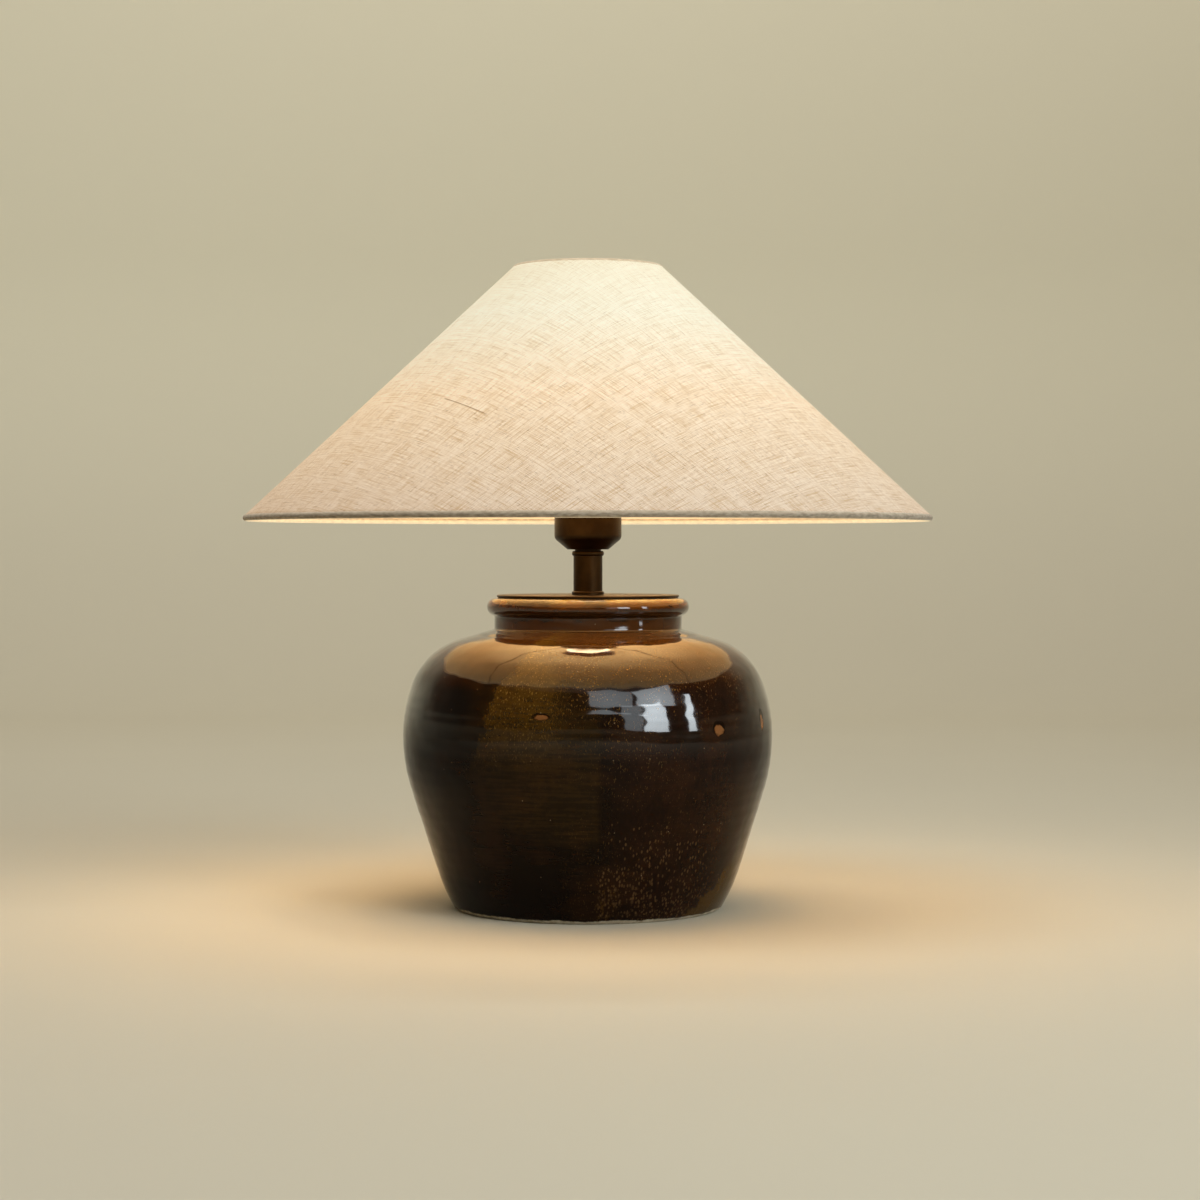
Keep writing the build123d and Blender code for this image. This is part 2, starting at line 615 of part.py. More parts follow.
bulb_thread_root = BULB_CAP_RADIUS - BULB_THREAD_DEPTH
bulb_cap_bore = bulb_thread_root - BULB_CAP_WALL
with BuildPart() as bulb_insulator:
    with BuildSketch(Plane.XZ):
        with BuildLine():
            Polyline(
                (0, tip_top + SLIP_CLEARANCE),
                (BULB_TIP_RADIUS, tip_top + SLIP_CLEARANCE),
                (bulb_thread_root, bulb_cap_bottom),
                (0, bulb_cap_bottom),
                close=True,
            )
        make_face()
    revolve(axis=Axis.Z)

with BuildPart() as bulb_cap:
    with BuildSketch(Plane.XZ):
        with BuildLine():
            Polyline(
                (bulb_cap_bore, bulb_cap_bottom),
                *ridges(
                    bulb_cap_bottom,
                    BULB_THREAD_PITCH,
                    BULB_THREAD_TURNS,
                    BULB_CAP_RADIUS,
                    BULB_THREAD_DEPTH,
                ),
                (BULB_CAP_RADIUS, bulb_thread_top + BULB_THREAD_DEPTH),
                (BULB_CAP_RADIUS, bulb_cap_top),
                (bulb_cap_bore, bulb_cap_top),
                close=True,
            )
        make_face()
    revolve(axis=Axis.Z)

bulb_neck_radius = BULB_CAP_RADIUS + BULB_NECK_OVERHANG
globe_centre = (0, globe_bottom + GLOBE_CENTRE_RISE)
globe_mouth_radius = sqrt(BULB_RADIUS**2 - GLOBE_CENTRE_RISE**2)
globe_mouth_turn = degrees(atan2(-GLOBE_CENTRE_RISE, globe_mouth_radius))
board_radius = globe_mouth_radius - BULB_WALL - BOARD_INSET
with BuildPart() as bulb_housing:
    with BuildSketch(Plane.XZ):
        with BuildLine():
            neck_end = (bulb_neck_radius, bulb_neck_top)
            rim = (globe_mouth_radius, globe_bottom)
            RadiusArc(neck_end, rim, BULB_HOUSING_FLARE)
            Polyline(
                rim,
                (board_radius + SLIP_CLEARANCE, globe_bottom),
                (board_radius + SLIP_CLEARANCE, board_bottom),
                (board_radius - BOARD_LEDGE, board_bottom),
                (bulb_cap_bore, bulb_neck_top),
                (bulb_cap_bore, bulb_cap_top),
                (bulb_neck_radius, bulb_cap_top),
                neck_end,
            )
        make_face()
    revolve(axis=Axis.Z)

with BuildPart() as led_board:
    with BuildSketch(Plane.XY.offset(board_bottom)):
        Circle(board_radius)
    extrude(amount=BOARD_THICKNESS)
    with BuildSketch(Plane.XY.offset(board_bottom + BOARD_THICKNESS)):
        with PolarLocations(board_radius - CHIP_INSET, CHIP_COUNT):
            Rectangle(CHIP_SIZE, CHIP_SIZE)
    extrude(amount=CHIP_HEIGHT)

with BuildPart() as bulb_globe:
    with BuildSketch(Plane.XZ):
        with BuildLine():
            globe_sweep = 90 - globe_mouth_turn
            outer = CenterArc(globe_centre, BULB_RADIUS, globe_mouth_turn, globe_sweep)
            inner = CenterArc(globe_centre, BULB_RADIUS - BULB_WALL, 0, 90)
            Line(outer @ 1, inner @ 1)
            Polyline(outer @ 0, (BULB_RADIUS - BULB_WALL, globe_bottom), inner @ 0)
        make_face()
    revolve(axis=Axis.Z)

# Shade: a conical sheet of linen on stiff backing, laid on the outside of two wire rings
with BuildPart() as shade_cover:
    with BuildSketch(Plane.XZ):
        with Locations(sheet_middle):
            Rectangle(slant, SHADE_SHEET, rotation=degrees(slant_turn))
    revolve(axis=Axis.Z)


def wire_ring(centre):
    """A ring of round wire at an edge of the shade."""
    with BuildPart() as ring:
        with BuildSketch(Plane.XZ):
            with Locations(centre):
                Circle(RING_WIRE_RADIUS)
        revolve(axis=Axis.Z)
    return ring


def binding(centre):
    """A strip of linen rolled round a wire ring and the edge of the sheet."""
    with BuildPart() as strip:
        with BuildSketch(Plane.XZ):
            with Locations(centre):
                Circle(hem_radius)
                Circle(RING_WIRE_RADIUS + SHEET_CLEARANCE, mode=Mode.SUBTRACT)
            with Locations(sheet_middle):
                Rectangle(
                    slant + 2 * SHEET_CLEARANCE,
                    SHADE_SHEET + 2 * SHEET_CLEARANCE,
                    rotation=degrees(slant_turn),
                    mode=Mode.SUBTRACT,
                )
        revolve(axis=Axis.Z)
    return strip


shade_bottom_ring = wire_ring(hem_centre)
shade_top_ring = wire_ring(crown_centre)
top_binding = binding(crown_centre)

# Fitter: the flat ring that sits on the lampholder, carried by straight arms from the bottom ring
with BuildPart() as shade_fitter:
    with BuildSketch(Plane.XY.offset(fitter_bottom)):
        Circle(fitter_radius)
        Circle(thread_radius + FITTER_CLEARANCE, mode=Mode.SUBTRACT)
    extrude(amount=FITTER_THICKNESS)

arm_start = Vector(fitter_radius + SCREW_CLEARANCE, 0, fitter_middle)
arm_way = (Vector(hem_centre[0], 0, hem_centre[1]) - arm_start).normalized()
arm_reach = hypot(hem_centre[0] - arm_start.X, hem_centre[1] - fitter_middle)
arm_length = arm_reach - RING_WIRE_RADIUS - SCREW_CLEARANCE


def arms(radius):
    """Straight round arms from the fitter to the bottom ring, the first one pointing backwards."""
    with BuildPart() as rods:
        for arm in range(ARM_COUNT):
            bearing = 90 + arm * 360 / ARM_COUNT
            start = arm_start.rotate(Axis.Z, bearing)
            with BuildSketch(Plane(start, z_dir=arm_way.rotate(Axis.Z, bearing))):
                Circle(radius)
            extrude(amount=arm_length)
    return rods


shade_arms = arms(ARM_RADIUS)
arm_slots = arms(ARM_RADIUS + SCREW_CLEARANCE)

# Bottom binding: slit on its inner side where the arms come in
hem_strip = binding(hem_centre)
with BuildPart() as bottom_binding:
    add(hem_strip.part)
    add(arm_slots.part, mode=Mode.SUBTRACT)

pieces = {
    "jar": jar,
    "cord_grommet": cord_grommet,
    "cap_felt_ring": cap_felt_ring,
    "cap_plate": cap_plate,
    "clamp_bar": clamp_bar,
    "clamp_pads": clamp_pads,
    "clamp_washer": clamp_washer,
    "clamp_nut": clamp_nut,
    "threaded_tube": threaded_tube,
    "tube_end_bush": tube_end_bush,
    "stem_lower_collar": stem_lower_collar,
    "stem_tube": stem_tube,
    "stem_upper_collar": stem_upper_collar,
    "socket_cup": socket_cup,
    "lampholder_base": lampholder_base,
    "grub_screw": grub_screw,
    "lampholder_insert": lampholder_insert,
    "terminal_screws": terminal_screws,
    "screw_shell": screw_shell,
    "centre_contact": centre_contact,
    "lampholder_skirt": lampholder_skirt,
    "lower_shade_ring": lower_shade_ring,
    "upper_shade_ring": upper_shade_ring,
    "bulb_contact": bulb_contact,
    "bulb_insulator": bulb_insulator,
    "bulb_cap": bulb_cap,
    "bulb_housing": bulb_housing,
    "led_board": led_board,
    "bulb_globe": bulb_globe,
    "shade_cover": shade_cover,
    "shade_bottom_ring": shade_bottom_ring,
    "shade_top_ring": shade_top_ring,
    "top_binding": top_binding,
    "bottom_binding": bottom_binding,
    "shade_fitter": shade_fitter,
    "shade_arms": shade_arms,
}

os.makedirs("parts", exist_ok=True)
for name, piece in pieces.items():
    piece.part.label = name
    export_step(piece.part, f"parts/{name}.step")
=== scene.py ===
import json
from math import acos, atan2, cos, hypot, pi, radians, sin, tan

import bmesh
import bpy
from mathutils import Matrix, Vector, noise


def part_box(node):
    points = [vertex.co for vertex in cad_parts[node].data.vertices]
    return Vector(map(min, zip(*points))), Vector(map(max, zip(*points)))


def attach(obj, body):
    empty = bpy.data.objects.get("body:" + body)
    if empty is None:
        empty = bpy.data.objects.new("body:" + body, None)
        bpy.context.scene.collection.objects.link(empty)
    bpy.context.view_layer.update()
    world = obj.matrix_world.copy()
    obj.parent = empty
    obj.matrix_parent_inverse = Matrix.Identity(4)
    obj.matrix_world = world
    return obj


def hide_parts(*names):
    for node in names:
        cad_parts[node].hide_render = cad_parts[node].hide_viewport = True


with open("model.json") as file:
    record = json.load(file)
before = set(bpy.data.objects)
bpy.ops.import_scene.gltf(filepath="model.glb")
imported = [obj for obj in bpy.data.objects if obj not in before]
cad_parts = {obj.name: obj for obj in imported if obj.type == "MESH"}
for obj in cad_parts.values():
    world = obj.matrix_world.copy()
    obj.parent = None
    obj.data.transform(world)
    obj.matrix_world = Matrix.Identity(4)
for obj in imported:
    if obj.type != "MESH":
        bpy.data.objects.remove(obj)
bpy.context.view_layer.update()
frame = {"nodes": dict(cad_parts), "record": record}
nodes = frame["nodes"]

# Jar: heavy stoneware thrown on a wheel, dipped in a dark iron glaze that runs thin and amber on
# the lip. Finger rings stay in the wall, and the foot was wiped bare before firing.
BELLY_RADIUS = 0.1344
BELLY_HEIGHT = 0.127
LOWER_BELLY_ARC = 0.136
WALL_LEAN = radians(17.4)
FOOT_ARC = 0.125
FOOT_LEAN = WALL_LEAN + radians(14.4)
UPPER_BELLY_ARC = 0.105
UPPER_BELLY_TURN = radians(21)
SHOULDER_ARC = 0.052
SHOULDER_SLOPE = radians(16)
SHOULDER_RUN = 0.0248
NECK_LENGTH = 0.0101
NECK_ROUND = 0.0016
LIP_RADIUS = 0.0064
LIP_OVERHANG = 0.0054
JAR_WALL = 0.008
JAR_FLOOR = 0.013
FOOT_RING_WIDTH = 0.013
FOOT_RECESS = 0.004
FOOT_EDGE = 0.0016
MOUTH_EDGE = 0.001
JAR_STEPS = 300
WALL_STEP = 0.0016
LIP_STEP = WALL_STEP / 2
INSIDE_STEP = 4 * WALL_STEP
CREASE_STEP = NECK_ROUND / 3
rim_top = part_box("jar")[1].z


def on_arc(centre, radius, turn):
    """The point of an outline's arc at a turn from the horizontal, as radius and height."""
    return (centre[0] + radius * cos(turn), centre[1] + radius * sin(turn))


def arc(centre, radius, start, end, step=WALL_STEP):
    """Points along an outline's arc, with both ends, no further apart than a step."""
    count = max(2, int(abs(end - start) * radius / step))
    return [on_arc(centre, radius, start + (end - start) * i / count) for i in range(count + 1)]


def straight(start, end, step=WALL_STEP):
    """Points along a straight stretch of an outline, without its ends."""
    count = max(1, int(hypot(end[0] - start[0], end[1] - start[1]) / step))
    return [
        (start[0] + (end[0] - start[0]) * i / count, start[1] + (end[1] - start[1]) * i / count)
        for i in range(1, count)
    ]


def jar_side(inset, step):
    """The jar's side from the top of its foot curve to the shoulder, at a depth inside its face."""
    lower = (BELLY_RADIUS - LOWER_BELLY_ARC, BELLY_HEIGHT)
    upper = (BELLY_RADIUS - UPPER_BELLY_ARC, BELLY_HEIGHT)
    shoulder = on_arc(upper, UPPER_BELLY_ARC - SHOULDER_ARC, UPPER_BELLY_TURN)
    shoulder_end = pi / 2 - SHOULDER_SLOPE
    tangent = on_arc(lower, LOWER_BELLY_ARC - inset, -WALL_LEAN)
    foot_rise = FOOT_ARC * (sin(FOOT_LEAN) - sin(WALL_LEAN))
    wall_foot = (tangent[0] - (tangent[1] - foot_rise) * tan(WALL_LEAN), foot_rise)
    return (
        [wall_foot]
        + straight(wall_foot, tangent, step)
        + arc(lower, LOWER_BELLY_ARC - inset, -WALL_LEAN, 0, step)
        + arc(upper, UPPER_BELLY_ARC - inset, 0, UPPER_BELLY_TURN, step)[1:]
        + arc(shoulder, SHOULDER_ARC - inset, UPPER_BELLY_TURN, shoulder_end, step)[1:]
    )


def jar_outline():
    """The whole section of the jar: up its outer face, over the lip and down inside."""
    side = jar_side(0, WALL_STEP)
    foot_centre = (side[0][0] - FOOT_ARC * cos(WALL_LEAN), FOOT_ARC * sin(FOOT_LEAN))
    outside = arc(foot_centre, FOOT_ARC, -FOOT_LEAN, -WALL_LEAN)[:-1] + side
    foot_radius = outside[0][0]
    end = outside[-1]
    neck_radius = end[0] - SHOULDER_RUN
    neck_foot = (neck_radius, end[1] + SHOULDER_RUN * tan(SHOULDER_SLOPE))
    crease_turn = pi / 2 - SHOULDER_SLOPE
    crease_reach = NECK_ROUND * tan(crease_turn / 2)
    crease_centre = (neck_radius + NECK_ROUND, neck_foot[1] + crease_reach)
    crease = arc(crease_centre, NECK_ROUND, -pi / 2 - SHOULDER_SLOPE, -pi, CREASE_STEP)
    lip = (neck_radius + LIP_OVERHANG - LIP_RADIUS, rim_top - LIP_RADIUS)
    lip_start = -acos((LIP_RADIUS - LIP_OVERHANG + NECK_ROUND) / (LIP_RADIUS + NECK_ROUND))
    tuck_centre = on_arc(lip, LIP_RADIUS + NECK_ROUND, lip_start)
    tuck = arc(tuck_centre, NECK_ROUND, pi, pi + lip_start, CREASE_STEP)
    lip_roll = arc(lip, LIP_RADIUS, lip_start, pi / 2, LIP_STEP)
    mouth_radius = neck_radius - JAR_WALL
    mouth_centre = (mouth_radius + MOUTH_EDGE, rim_top - MOUTH_EDGE)
    mouth = arc(mouth_centre, MOUTH_EDGE, pi / 2, pi, MOUTH_EDGE / 2)
    inside = jar_side(JAR_WALL, INSIDE_STEP)
    inside.insert(0, (inside[0][0] - (inside[0][1] - JAR_FLOOR) * tan(WALL_LEAN), JAR_FLOOR))
    inner_end = inside[-1]
    inner_rise = (inner_end[0] - mouth_radius) * tan(SHOULDER_SLOPE)
    ring_radius = foot_radius - FOOT_RING_WIDTH
    edge_lean = FOOT_EDGE * tan(FOOT_LEAN)
    return (
        [(foot_radius - FOOT_EDGE, 0), (foot_radius + edge_lean, FOOT_EDGE)]
        + [point for point in outside[1:] if point[1] > 2 * FOOT_EDGE]
        + straight(end, crease[0], LIP_STEP)
        + crease
        + straight(crease[-1], tuck[0], LIP_STEP)
        + tuck
        + lip_roll[1:]
        + mouth
        + [(mouth_radius, inner_end[1] + inner_rise)]
        + inside[::-1]
        + [(0, JAR_FLOOR), (0, FOOT_RECESS), (ring_radius, FOOT_RECESS), (ring_radius, FOOT_EDGE)]
        + [(ring_radius + FOOT_EDGE, 0)]
    )


def spun(shape, rim, edges, steps, merge):
    """Turns an outline fully about the lamp's axis and closes its seam and poles."""
    bmesh.ops.spin(
        shape, geom=rim + edges, axis=(0, 0, 1), angle=2 * pi, steps=steps, use_merge=True
    )
    bmesh.ops.remove_doubles(shape, verts=shape.verts, dist=merge)


def turned(outline, steps):
    """A closed outline of radius and height, turned about the lamp's axis."""
    shape = bmesh.new()
    rim = [shape.verts.new((radius, 0, height)) for radius, height in outline]
    edges = [shape.edges.new((a, b)) for a, b in zip(rim, rim[1:] + rim[:1])]
    spun(shape, rim, edges, steps, merge=1e-7)
    bmesh.ops.recalc_face_normals(shape, faces=shape.faces)
    return shape


def placed_mesh(shape, name):
    """A smooth object in the scene from a finished shape."""
    mesh = bpy.data.meshes.new(name)
    shape.to_mesh(mesh)
    shape.free()
    mesh.shade_smooth()
    made = bpy.data.objects.new(name, mesh)
    bpy.context.scene.collection.objects.link(made)
    return made


def piece(shape, name, body, slot, *stands_for):
    """A finished piece from its shape, riding on a body and standing for its solids."""
    made = placed_mesh(shape, name)
    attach(made, body)
    if stands_for:
        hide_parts(*stands_for)
    return made


def smooth_step(low, high, value):
    """0 below the low end, 1 above the high end, and smooth between them."""
    share = min(1, max(0, (value - low) / (high - low)))
    return share * share * (3 - 2 * share)


def thrown_noise(out, height, seed, rates):
    """Slow noise round and up the jar, at a rate for each."""
    return noise.noise(out * rates[0] + Vector((*seed, height * rates[1])))


CORD_HOLE_RADIUS = 0.0061
CORD_HOLE_SIDES = 48
OUTER_FACE_RADIUS = 0.055
CALM_FOOT = 0.004, 0.030
CALM_LIP = 0.010, 0.004
CALM_HOLE = 0.010, 0.030
THROWN_WOBBLE = 0.0011
WOBBLE_SEED, WOBBLE_RATES = (3.1, 1.7), (0.9, 7)
FINGER_RING_DEPTH = 0.00013
FINGER_RING_PITCH = 0.0085
RING_SEED, RING_RATES = (2.0, 5.0), (0, 45)
RING_DRIFT = 5
DRIFT_SEED, DRIFT_RATES = (8.2, 0.4), (1.4, 20)
GLAZE_RIPPLE = 0.00020
GLAZE_RIPPLE_SIZE = 0.016
FINE_RIPPLE = 0.40
FINE_RIPPLE_RATE = 2.4
NECK_RING_RADIUS = 0.0800
NECK_RING_WIDTH = 0.0075
NECK_RING_DEPTH = 0.00020
SHOULDER_STARTS = 0.190, 0.197
SHOULDER_ENDS = 0.2025, 0.2035
cord_mount = next(m for m in frame["record"]["mounts"] if m["name"] == "cord_inlet")
cord_point = Vector(cord_mount["pos_m"])
cord_way = Vector(cord_mount["axis"])

jar_shape = turned(jar_outline(), JAR_STEPS)
for vert in jar_shape.verts:
    flat = Vector((vert.co.x, vert.co.y, 0))
    faces_out = flat.length > OUTER_FACE_RADIUS and vert.normal.dot(flat) > 0
    if faces_out and vert.co.z > FOOT_EDGE:
        out = flat.normalized()
        height = vert.co.z
        below_lip = 1 - smooth_step(rim_top - CALM_LIP[0], rim_top - CALM_LIP[1], height)
        calm = smooth_step(*CALM_FOOT, height) * below_lip
        calm *= smooth_step(*CALM_HOLE, (vert.co - cord_point).length)
        wobble = thrown_noise(out, height, WOBBLE_SEED, WOBBLE_RATES)
        drift = thrown_noise(out, height, DRIFT_SEED, DRIFT_RATES)
        spiral = 2 * pi * height / FINGER_RING_PITCH + RING_DRIFT * drift
        rings = sin(spiral + atan2(out.x, -out.y))
        depth = 0.4 + 0.6 * thrown_noise(out, height, RING_SEED, RING_RATES)
        ripple = noise.noise(vert.co / GLAZE_RIPPLE_SIZE)
        ripple += FINE_RIPPLE * noise.noise(vert.co * FINE_RIPPLE_RATE / GLAZE_RIPPLE_SIZE)
        hollow = max(-1, min(1, (flat.length - NECK_RING_RADIUS) / NECK_RING_WIDTH))
        neck_ring = NECK_RING_DEPTH * sin(pi * hollow) * (1 + cos(pi * hollow)) / 2
        on_shoulder = smooth_step(*SHOULDER_STARTS, height)
        on_shoulder *= 1 - smooth_step(*SHOULDER_ENDS, height)
        vert.co += out * calm * (THROWN_WOBBLE * wobble + FINGER_RING_DEPTH * depth * rings)
        vert.co += vert.normal * calm * GLAZE_RIPPLE * ripple
        vert.co.z -= neck_ring * on_shoulder
jar = piece(jar_shape, "glazed_jar", "base", "glaze", "jar")

drill_shape = bmesh.new()
drill_turn = Vector((0, 0, 1)).rotation_difference(cord_way).to_matrix().to_4x4()
bmesh.ops.create_cone(
    drill_shape,
    cap_ends=True,
    segments=CORD_HOLE_SIDES,
    radius1=CORD_HOLE_RADIUS,
    radius2=CORD_HOLE_RADIUS,
    depth=4 * JAR_WALL,
    matrix=Matrix.Translation(cord_point) @ drill_turn,
)
drill_mesh = bpy.data.meshes.new("drill")
drill_shape.to_mesh(drill_mesh)
drill_shape.free()
drill = bpy.data.objects.new("drill", drill_mesh)
bpy.context.scene.collection.objects.link(drill)
drilling = jar.modifiers.new("drilling", "BOOLEAN")
drilling.object = drill
drilling.operation = "DIFFERENCE"
drilled_jar = jar.evaluated_get(bpy.context.evaluated_depsgraph_get())
drilled = bpy.data.meshes.new_from_object(drilled_jar)
jar.modifiers.clear()
jar.data = drilled
bpy.data.objects.remove(drill)


class Layer:
    """One value of a finish as it changes over a surface; sums on layers add Math nodes."""

    def __init__(self, socket):
        self.socket = socket
        self.tree = socket.id_data

    def node(self, kind, sockets, out=0, stops=(), **settings):
        """Adds a node: its settings first, then the values or links of its sockets."""
        made = self.tree.nodes.new("ShaderNode" + kind)
        for name, value in settings.items():
            setattr(made, name, value)
        for place, (position, colour) in enumerate(stops):
            if place >= len(made.color_ramp.elements):
                made.color_ramp.elements.new(position)
            made.color_ramp.elements[place].position = position
            made.color_ramp.elements[place].color = colour
        for name, value in sockets.items():
            if isinstance(value, Layer):
                self.tree.links.new(value.socket, made.inputs[name])
            else:
                made.inputs[name].default_value = value
        return Layer(made.outputs[out])

    def maths(self, operation, first, second=0.5):
        """Adds a Math node on one or two values."""
        return self.node("Math", {0: first, 1: second}, operation=operation)

    def __add__(self, other):
        return self.maths("ADD", self, other)

    __radd__ = __add__

    def __sub__(self, other):
        return self.maths("SUBTRACT", self, other)

    def __rsub__(self, other):
        return self.maths("SUBTRACT", other, self)

    def __mul__(self, other):
        return self.maths("MULTIPLY", self, other)

    __rmul__ = __mul__

    def __truediv__(self, other):
        return self.maths("DIVIDE", self, other)


def new_finish(name, coordinates="Object"):
    """A new material and the layer of its surface coordinates."""
    material = bpy.data.materials.new(name)
    material.use_nodes = True
    source = material.node_tree.nodes.new("ShaderNodeTexCoord")
    return material, Layer(source.outputs[coordinates])


def lay_on(material, **sockets):
    """Sets or links the sockets of a material's surface; an underscore stands for a space."""
    surface = material.node_tree.nodes["Principled BSDF"]
    for name, value in sockets.items():
        socket = surface.inputs[name.replace("_", " ")]
        if isinstance(value, Layer):
            material.node_tree.links.new(value.socket, socket)
        else:
            socket.default_value = value
    return material


ACROSS, BACK, UP = range(3)


def along(place, axis):
    """How far a place lies along one of the three axes."""
    return place.node("SeparateXYZ", {"Vector": place}, out=axis)


def between(layer, low, high):
    """A soft mask, 0 below the low end and 1 above the high end."""
    sockets = {"Value": layer, "From Min": low, "From Max": high}
    return layer.node("MapRange", sockets, interpolation_type="SMOOTHSTEP")


def until(layer, low, high):
    """A soft mask, 1 below the low end and 0 above the high end."""
    return 1 - between(layer, low, high)


def grain(place, size, detail=2.0, stretch=(1, 1, 1), shift=(0, 0, 0), roughness=0.5):
    """Cloudy noise about 0.5, with features of a size in metres, drawn out along any axis."""
    scale = tuple(1 / (size * s) for s in stretch)
    placed = place.node("Mapping", {"Vector": place, "Location": shift, "Scale": scale})
    sockets = {"Vector": placed, "Scale": 1.0, "Detail": detail, "Roughness": roughness}
    return place.node("TexNoise", sockets)


def swing(layer, reach):
    """Noise about 0.5 made to swing about 0, by a reach."""
    return (layer - 0.5) * reach


def cells(place, scale=1.0):
    """Scattered points: how far off the nearest one is, and a number drawn for it."""
    sockets = {"Vector": place, "Scale": scale, "Randomness": 1.0}
    drawn = place.node("TexVoronoi", sockets, out="Color")
    return place.node("TexVoronoi", sockets), drawn.node("SeparateColor", {"Color": drawn})


MIX_FACTOR, MIX_UNDER, MIX_OVER, MIXED_COLOUR = 0, 6, 7, 2


def tint(mask, under, over, blend="MIX"):
    """A colour over another one where a mask is 1."""
    sockets = {MIX_FACTOR: mask, MIX_UNDER: under, MIX_OVER: over}
    return mask.node("Mix", sockets, out=MIXED_COLOUR, data_type="RGBA", blend_type=blend)


def relief(height, strength, distance):
    """A fine relief from a height layer."""
    return height.node("Bump", {"Height": height, "Strength": strength, "Distance": distance})


GLAZE_BLACK = (0.0040, 0.0016, 0.0007, 1)
GLAZE_BROWN = (0.0125, 0.0044, 0.0011, 1)
GLAZE_RUST = (0.026, 0.0078, 0.0026, 1)
GLAZE_VEIL = (0.070, 0.036, 0.0040, 1)
GLAZE_GOLD = (0.26, 0.150, 0.036, 1)
GLAZE_OCHRE = (0.056, 0.026, 0.0026, 1)
GLAZE_DROP = (0.070, 0.036, 0.013, 1)
GLAZE_AMBER = (0.105, 0.037, 0.0035, 1)
GLAZE_UMBER = (0.024, 0.0080, 0.0010, 1)
# Honey of the glaze breaking thin on the lip, lightened as a painted highlight of the lit shade
# above.
GLAZE_HONEY_AND_HIGHLIGHT = (0.21, 0.142, 0.042, 1)
GLAZE_TOFFEE = (0.050, 0.018, 0.0024, 1)
GLAZE_SCAR = (0.20, 0.085, 0.028, 1)
PINHOLE = (0.30, 0.22, 0.13, 1)
BARE_CLAY = (0.52, 0.45, 0.34, 1)
SANDY_CLAY = (0.36, 0.29, 0.20, 1)
CLOUD_SIZE = 0.030
MOTTLE_SIZE = 0.0045
STREAK_SIZE = 0.0032
RING_SIZE = 0.0022
DUST_SIZE = 0.0010
BLOTCH_SIZE = 0.012
SPECK_SIZE = 0.0009
LIP_STREAK_SIZE = 0.0045

glaze, spot = new_finish("glaze")
height = along(spot, UP)
bearing = spot.maths("ARCTAN2", along(spot, ACROSS), along(spot, BACK) * -1)
clouds = grain(spot, CLOUD_SIZE, 4)
mottle = grain(spot, MOTTLE_SIZE, 5, roughness=0.62)
streaks = grain(spot, STREAK_SIZE, 4, stretch=(1, 1, 2.6), roughness=0.6)
rings = grain(spot, RING_SIZE, 3, stretch=(14, 14, 1))
dust = between(grain(spot, DUST_SIZE, 3, stretch=(1, 1, 1.8), shift=(4, 2, 7)), 0.56, 0.72)
ragged = swing(clouds, 0.30) + swing(streaks, 0.10)
POUR_EDGE = 0.045
POUR_FADE = 0.12
POUR_TOP = 0.015


def pour(left, right, lean, top, bottom):
    """Where a second dip of glaze ran down, thickest at its top left and fading to the right."""
    slid = bearing + (top - height) * lean + ragged
    sides = between(slid, left, left + POUR_EDGE)
    sides = sides * until(bearing + ragged * 0.8, left + POUR_FADE, right)
    return sides * between(height + ragged * 0.05, bottom, top - POUR_TOP)


front_pour = pour(radians(-24), radians(-3), 3.4, 0.190, 0.095)
left_pour = pour(radians(-140), radians(-96), -2.5, 0.185, 0.060)
right_pour = pour(radians(112), radians(170), 2.0, 0.195, 0.070)
pours = front_pour.maths("MINIMUM", front_pour + left_pour + right_pour, 1.0)

SEAM_OF_DIPS = radians(4.5)
TONGUE_LEFT = radians(-36), radians(-14)
TONGUE_RIGHT = SEAM_OF_DIPS - 0.04, SEAM_OF_DIPS + 0.01
TONGUE_FOOT = 0.050, 0.066
DRIP_LEFT = SEAM_OF_DIPS - 0.03, SEAM_OF_DIPS + 0.01
DRIP_RIGHT = radians(40), radians(66)
PATCH_LEFT = radians(44), radians(49)
PATCH_RIGHT = radians(76), radians(112)
PATCH_TOP = 0.030, 0.054
seam_line = bearing + swing(streaks, 0.05)
tongue = between(bearing + ragged * 0.7 + height * 1.2, *TONGUE_LEFT)
tongue = tongue * until(seam_line, *TONGUE_RIGHT)
tongue = tongue * between(height + ragged * 0.04 - bearing * bearing * 0.04, *TONGUE_FOOT)
dripped = between(seam_line, *DRIP_LEFT) * until(bearing, *DRIP_RIGHT)
blotch = grain(spot, BLOTCH_SIZE, 5, shift=(5, 8, 2), roughness=0.62) - 0.5 + swing(clouds, 0.8)
foot_patch = between(bearing + blotch * 0.45 - height * 7.5, *PATCH_LEFT)
foot_patch = foot_patch * until(bearing + blotch * 1.3, *PATCH_RIGHT)
foot_patch = foot_patch * until(height + blotch * 0.075, *PATCH_TOP)
BEAD_STRETCH = 0.45
BEAD_CHOICE = 0.0, 0.12


def droplets(size, low, high, top, shift):
    """Beads of the lighter glaze caught as they ran, crowded at the foot and fewer higher up."""
    scale = (1 / size, 1 / size, BEAD_STRETCH / size)
    bead, lot = cells(spot.node("Mapping", {"Vector": spot, "Location": shift, "Scale": scale}))
    chosen = between(lot - height / top, *BEAD_CHOICE)
    return until(bead + swing(mottle, 0.35), low, high) * chosen * (0.35 + 0.9 * lot)


